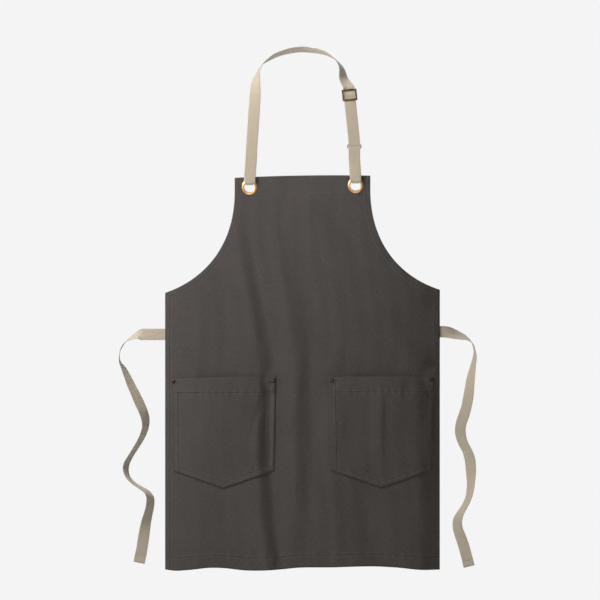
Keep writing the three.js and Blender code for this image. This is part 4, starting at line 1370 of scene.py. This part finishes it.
class APRON_OT_ties(Operator):
    """Hang the two waist ties from the panel's sides"""
    bl_idname = "apron.ties"
    bl_label = "Waist ties"

    def execute(self, context):
        width = context.scene.apron_webbing.width
        cotton = finish("natural webbing")
        for name, side in SIDES:
            route = tie_route(name)
            tie = webbing(name + "_waist_tie", route, width, cotton)
            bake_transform(tie)
            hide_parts(name + "_tie")
            x, y, z = hang_edge(side)
            inner = []
            for i in range(12):
                left = 1 - i / 12
                at = (x + side * (0.0012 - 0.03 * left), y - 0.0006 * left, z)
                inner.append(station(at, (0, 0, 1)))
            inner.append(station((x - side * 0.0005, y, z), (0, 0, 1)))
            sewn = webbing(name + "_tie_root", inner, width, cotton)
            settle(sewn, "apron", "webbing", name + "_tie_end")
            middle = [tuple(at) for at, _, _ in route]
            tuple(middle[0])
        return {"FINISHED"}


class APRON_OT_panel(Operator):
    """Cut and hang the panel with its facing, hems and armhole tapes"""
    bl_idname = "apron.panel"
    bl_label = "Panel and hems"

    def execute(self, context):
        thickness = context.scene.apron_canvas.thickness
        black = finish("panel canvas")
        tape_black = finish("tape canvas")
        holes = [(x, drop, EYELET_BORE) for _, x, drop in EYELETS]
        panel = cloth("apron_front", 150, len(OUTLINE_X) - 1, panel_place, thickness, black,
                      panel_marks, holes)
        settle(panel, "apron", "canvas", "apron_panel")
        facing = cloth("bib_top_facing", 96, 14, facing_place, FACING_CLOTH, black, panel_marks,
                       holes)
        settle(facing, "apron", "canvas", "bib_facing")
        hem = cloth("bottom_hem", 150, 10, hem_place, HEM_CLOTH, black, panel_marks)
        settle(hem, "apron", "canvas")
        pieces = [facing, hem]
        for name, side in SIDES:
            strip = cloth(name + "_side_hem", 3, 150, side_hem_place(side), TAPE_CLOTH,
                          tape_black, panel_marks)
            settle(strip, "apron", "canvas")
            tape = cloth(name + "_armhole_binding", 3, 80, tape_place(side), TAPE_CLOTH,
                         tape_black, panel_marks)
            settle(tape, "apron", "canvas", name + "_armhole_tape")
            pieces += [strip, tape]
        return {"FINISHED"}


class APRON_OT_pockets(Operator):
    """Cut the two pointed patch pockets and set them on the panel"""
    bl_idname = "apron.pockets"
    bl_label = "Pockets"

    def execute(self, context):
        black = finish("pocket canvas")
        for name, side in SIDES:
            marks = pocket_marks(side)
            pocket = cloth(name + "_patch_pocket", 88, 92, pocket_place(side), POCKET_CLOTH,
                           black, marks)
            settle(pocket, "apron", "canvas", name + "_pocket")
            hem = cloth(name + "_mouth_hem", 80, 12, mouth_hem_place(side), TAPE_CLOTH, black,
                        marks)
            settle(hem, "apron", "canvas")
        return {"FINISHED"}


class APRON_OT_straps(Operator):
    """Thread the neck strap, the short strap and the run that adjusts them"""
    bl_idname = "apron.straps"
    bl_label = "Neck strap"

    def execute(self, context):
        width = context.scene.apron_webbing.width
        cotton = finish("natural webbing")
        strap = webbing("long_neck_strap", neck_strap_route(), width, cotton)
        settle(strap, "neck_loop", "webbing", "neck_strap")
        short = webbing("short_neck_strap", short_strap_route(), width, cotton)
        settle(short, "neck_loop", "webbing", "short_strap")
        back = webbing("return_run", return_route(), width, cotton)
        settle(back, "neck_loop", "webbing", "strap_return")
        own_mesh(back)
        end = webbing("folded_strap_end", end_loop_route(), width, cotton)
        settle(end, "slider", "webbing", "strap_end_loop")
        return {"FINISHED"}


class APRON_OT_eyelets(Operator):
    """Set the rolled brass eyelets and their washers in the bib's corners"""
    bl_idname = "apron.eyelets"
    bl_label = "Eyelets"

    def execute(self, context):
        bright = finish("bright brass")
        rim = [(12.5, 3.85), (11.9, 3.75), (11.45, 3.1), (11.4, 1.0), (11.4, -1.1), (11.5, -1.75),
               (11.85, -2.35), (12.5, -2.72), (13.3, -2.85), (14.2, -2.72), (15.2, -2.3),
               (16.2, -1.75), (16.9, -1.35), (17.0, -1.05), (16.85, -0.88), (15.4, -0.82),
               (12.6, -0.86), (12.5, 0.5), (12.5, 2.6)]
        washer = [(12.8, 2.62), (15.4, 2.6), (16.0, 2.75), (16.0, 3.0), (15.1, 3.3), (14.0, 3.72),
                  (13.3, 3.8), (12.85, 3.6)]
        for name, x, drop in EYELETS:
            for part, profile, node in (("rolled_eyelet", rim, "_eyelet"),
                                        ("back_washer", washer, "_eyelet_washer")):
                profile = [(radius, back + 0.5) for radius, back in profile]
                turned_piece(name + "_" + part, profile, 72, True, x, drop, bright,
                             "eyelet_brass", name + node)
        return {"FINISHED"}


class APRON_OT_rivets(Operator):
    """Set the pocket rivets"""
    bl_idname = "apron.rivets"
    bl_label = "Rivets"

    def execute(self, context):
        antique = finish("antique brass")
        cap = [(0, -3.75), (1.2, -3.7), (2.2, -3.45), (2.75, -3.1), (3.0, -2.95), (3.35, -3.0),
               (3.9, -3.0), (4.35, -2.8), (4.5, -2.45), (4.45, -2.05), (4.0, -1.9), (1.5, -1.9),
               (1.5, 2.0), (1.5, 2.7), (0.9, 2.95), (0, 2.95)]
        back = [(0, 1.72), (4.4, 1.72), (4.5, 1.9), (4.4, 2.15), (3.6, 2.45), (2.3, 2.8),
                (1.9, 3.05), (1.5, 3.1), (0, 3.05)]
        for name, x, drop in RIVETS:
            for part, profile, node in (("rivet_head", cap, "_rivet_cap"),
                                        ("rivet_plate", back, "_rivet_back")):
                turned_piece(name + "_" + part, profile, 40, False, x, drop, antique,
                             "antique_brass", name + node, darken_share=0.85)
        return {"FINISHED"}


def bent_wire(node, thickness, bend, sides=14):
    """Points and faces of a round wire bent into an upright rectangle that fills a node's box."""
    low, high = (Vector(corner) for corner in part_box(node))
    centre = (low + high) / 2
    radius = thickness / 2
    path = []
    for corner, (sign_x, sign_z) in enumerate(((1, 1), (-1, 1), (-1, -1), (1, -1))):
        for i in range(9):
            angle = math.pi / 2 * (corner + i / 8)
            path.append((
                sign_x * ((high.x - low.x) / 2 - radius - bend) + bend * math.cos(angle),
                sign_z * ((high.z - low.z) / 2 - radius - bend) + bend * math.sin(angle),
            ))
    path = np.array(path)
    ahead = np.roll(path, -1, axis=0) - np.roll(path, 1, axis=0)
    ahead /= np.linalg.norm(ahead, axis=1, keepdims=True)
    outward = np.stack([ahead[:, 1], -ahead[:, 0]], axis=-1)
    angle = 2 * math.pi * np.arange(sides) / sides
    reach = radius * np.cos(angle)
    flat = path[:, None, :] + outward[:, None, :] * reach[:, None]
    depth = np.broadcast_to(radius * np.sin(angle), flat.shape[:2])
    points = np.stack([flat[..., 0], depth, flat[..., 1]], axis=-1) + np.array(centre)
    index = np.arange(len(path) * sides).reshape(len(path), sides)
    return points.reshape(-1, 3), ring_faces(index, True)


class APRON_OT_strap_metal(Operator):
    """Bend the ring's wire and soften the slider's edges"""
    bl_idname = "apron.strap_metal"
    bl_label = "Ring and slider"

    def execute(self, context):
        antique = finish("antique brass")
        points, faces = bent_wire("strap_ring", RING_WIRE, RING_BEND)
        ring = new_object("wire_ring", points, faces, antique,
                          # the whole ring's colour made darker
                          marks={"darkening": np.full(len(points), 0.6)})
        face_outwards(ring)
        settle(ring, "neck_loop", "antique_brass", "strap_ring")
        slider_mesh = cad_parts["strap_slider"].data.copy()
        slider = bpy.data.objects.new("cast_slider", slider_mesh)
        context.scene.collection.objects.link(slider)
        slider_mesh.materials.clear()
        slider_mesh.materials.append(antique)
        face_outwards(slider)
        soften(slider, 0.00055, 3)
        settle(slider, "slider", "antique_brass", "strap_slider")
        return {"FINISHED"}


FINE = np.linspace(0, 1, 500)
ACROSS_WEB = np.linspace(-ACROSS_SEAM, ACROSS_SEAM, 20)


def panel_seams():
    """The seams of the facing, hems and armhole tapes, on the panel's front and behind it."""
    lines = []
    inset = SIDE_HEM - PANEL_SEAM
    for depth in (-THREAD_LIFT, BEHIND + HEM_CLOTH):
        for half, end_gap, low in (
            (BIB_HALF, 0.004, FACING - PANEL_SEAM),
            (HALF, 0.003, LENGTH - HEM + PANEL_SEAM),
        ):
            x = (2 * FINE - 1) * (half - end_gap)
            drop = np.full(500, low)
            lines.append(hang_at(x, drop, depth + panel_waves(x, drop, half)))
        for _, side in SIDES:
            drop = 0.252 + FINE * (LENGTH - HEM - 0.252)
            x = np.full(500, side * (HALF - inset))
            lines.append(hang_at(x, drop, depth + panel_waves(x, drop, HALF)))
            x, drop = armhole_at(0.02 + 0.975 * FINE, inset)
            lines.append(hang_at(side * x, drop, depth))
    return lines


def pocket_seams():
    """The mouth's seam and the two rows round each pocket."""
    lines = []
    for _, side in SIDES:
        x = side * POCKET_CENTRE + (2 * FINE - 1) * (POCKET_HALF - 0.0027)
        lines.append(pocket_line(side, x, np.full(500, POCKET_DROP + MOUTH_HEM)))
        for edge in (-1, 1):
            for row in POCKET_ROWS:
                drop = POCKET_DROP + 0.001 + FINE * (POCKET_SIDE - 0.001 + row * 0.3)
                x = side * POCKET_CENTRE + edge * (POCKET_HALF - row)
                x = x - edge * POCKET_TAPER * (drop - POCKET_DROP) / POCKET_SIDE
                lines.append(pocket_line(side, x, drop))
                # the inner row's two slanted seams start a little past the point
                start = 0.0 if row == POCKET_ROWS[0] else 0.016
                foot = POCKET_HALF - POCKET_TAPER - POCKET_ROWS[0]
                out = edge * (FINE * (foot + start) - start)
                rise = row / math.cos(math.atan(POCKET_POINT / POCKET_HALF))
                slope = POCKET_POINT * (1 - edge * out / POCKET_HALF)
                drop = POCKET_DROP + POCKET_SIDE + slope - rise
                lines.append(pocket_line(side, side * POCKET_CENTRE + out, drop))
    return lines


def tie_root_seams():
    """A crossed box through each tie's sewn end."""
    lines = []
    near, far, half = 0.003, 0.025, 0.010
    box = ((near, -half), (near, half), (far, half), (far, -half), (near, -half),
           (far, half), (far, -half), (near, half))
    for _, side in SIDES:
        x, y, z = hang_edge(side)
        for a, b in zip(box[:-1], box[1:]):
            out = np.linspace(a[0], b[0], 12)
            up = np.linspace(a[1], b[1], 12)
            back = np.full(12, y + WEB / 2 + THREAD_LIFT)
            lines.append(np.stack([x - side * out, back, z + up], axis=-1))
    return lines


def strap_seams():
    """Two rows across the webbing under the ring, and two above the left eyelet."""
    lines = []
    for centre, rows in (
        (LOWER_BAR, (-0.0105, -0.0160)),
        (LEFT_EYELET, (MEET + 0.0010, MEET + 0.0065)),
    ):
        y = FRONT + centre[1] - LAYER / 2 - WEB / 2 - THREAD_LIFT
        for row in rows:
            x = centre[0] + ACROSS_WEB
            lines.append(np.stack([x, np.full(20, y), np.full(20, centre[2] + row)], axis=-1))
    return lines


def strap_end_seams():
    """Two rows across the strap's end, folded over the slider's bar."""
    behind = 2 * LAYER + WEB / 2 + THREAD_LIFT
    return [
        np.array([on_slider(a, behind, up) + (0, FRONT, 0)
                  for a in np.linspace(-0.0105, 0.0105, 20)])
        for up in (-0.0125, -0.0085)
    ]


def tie_tip_seams(name):
    """A row across each face of a tie, just before its cut end."""
    route = tie_route(name)
    at, across, _ = route[-8]
    along = route[-7][0] - route[-9][0]
    along /= np.linalg.norm(along)
    across = across - along * across.dot(along)
    across /= np.linalg.norm(across)
    out = np.cross(along, across) * (WEB / 2 + THREAD_LIFT)
    return [at + face * out + ACROSS_WEB[:, None] * across for face in (-1, 1)]


class APRON_OT_stitching(Operator):
    """Sew the hems, the pockets, the ties and the straps"""
    bl_idname = "apron.stitching"
    bl_label = "Stitching"

    def execute(self, context):
        black = finish("black thread")
        natural = finish("natural thread")
        sew("panel_stitching", panel_seams(), black, "apron", "canvas", 3)
        sew("pocket_stitching", pocket_seams(), black, "apron", "canvas", 5)
        sew("tie_root_stitching", tie_root_seams(), natural, "apron", "webbing", 7)
        sew("strap_stitching", strap_seams(), natural, "neck_loop", "webbing", 11)
        sew("strap_end_stitching", strap_end_seams(), natural, "slider", "webbing", 13)
        for name, _ in SIDES:
            sew(name + "_tie_tip_stitching", tie_tip_seams(name), natural,
                name + "_waist_tie", "webbing", 17)
        return {"FINISHED"}


STEPS = (
    APRON_OT_stage,
    APRON_OT_ties,
    APRON_OT_panel,
    APRON_OT_pockets,
    APRON_OT_straps,
    APRON_OT_eyelets,
    APRON_OT_rivets,
    APRON_OT_strap_metal,
    APRON_OT_stitching,
)
SETTINGS = {
    "apron_canvas": ApronCanvas,
    "apron_webbing": ApronWebbing,
    "apron_stitch": ApronStitch,
    "apron_metal": ApronMetal,
    "apron_stage": ApronStage,
}


class APRON_PT_sidebar(Panel):
    """Sizes, colours and the steps that make the apron"""
    bl_idname = "APRON_PT_sidebar"
    bl_label = "Canvas Bib Apron"
    bl_space_type = "VIEW_3D"
    bl_region_type = "UI"
    bl_category = "Apron"

    def draw(self, context):
        for setting in SETTINGS:
            box = self.layout.box()
            group = getattr(context.scene, setting)
            for key in group.bl_rna.properties.keys():
                if key not in ("rna_type", "name"):
                    box.prop(group, key)
        column = self.layout.column(align=True)
        for step in STEPS:
            column.operator(step.bl_idname)


CLASSES = (*SETTINGS.values(), *STEPS, APRON_PT_sidebar)


def register():
    for made in CLASSES:
        bpy.utils.register_class(made)
    for setting, group in SETTINGS.items():
        setattr(bpy.types.Scene, setting, PointerProperty(type=group))


def unregister():
    for setting in SETTINGS:
        delattr(bpy.types.Scene, setting)
    for made in reversed(CLASSES):
        bpy.utils.unregister_class(made)


def main():
    register()
    for step in STEPS:
        group, action = step.bl_idname.split(".")
        getattr(getattr(bpy.ops, group), action)()


if __name__ == "__main__":
    main()
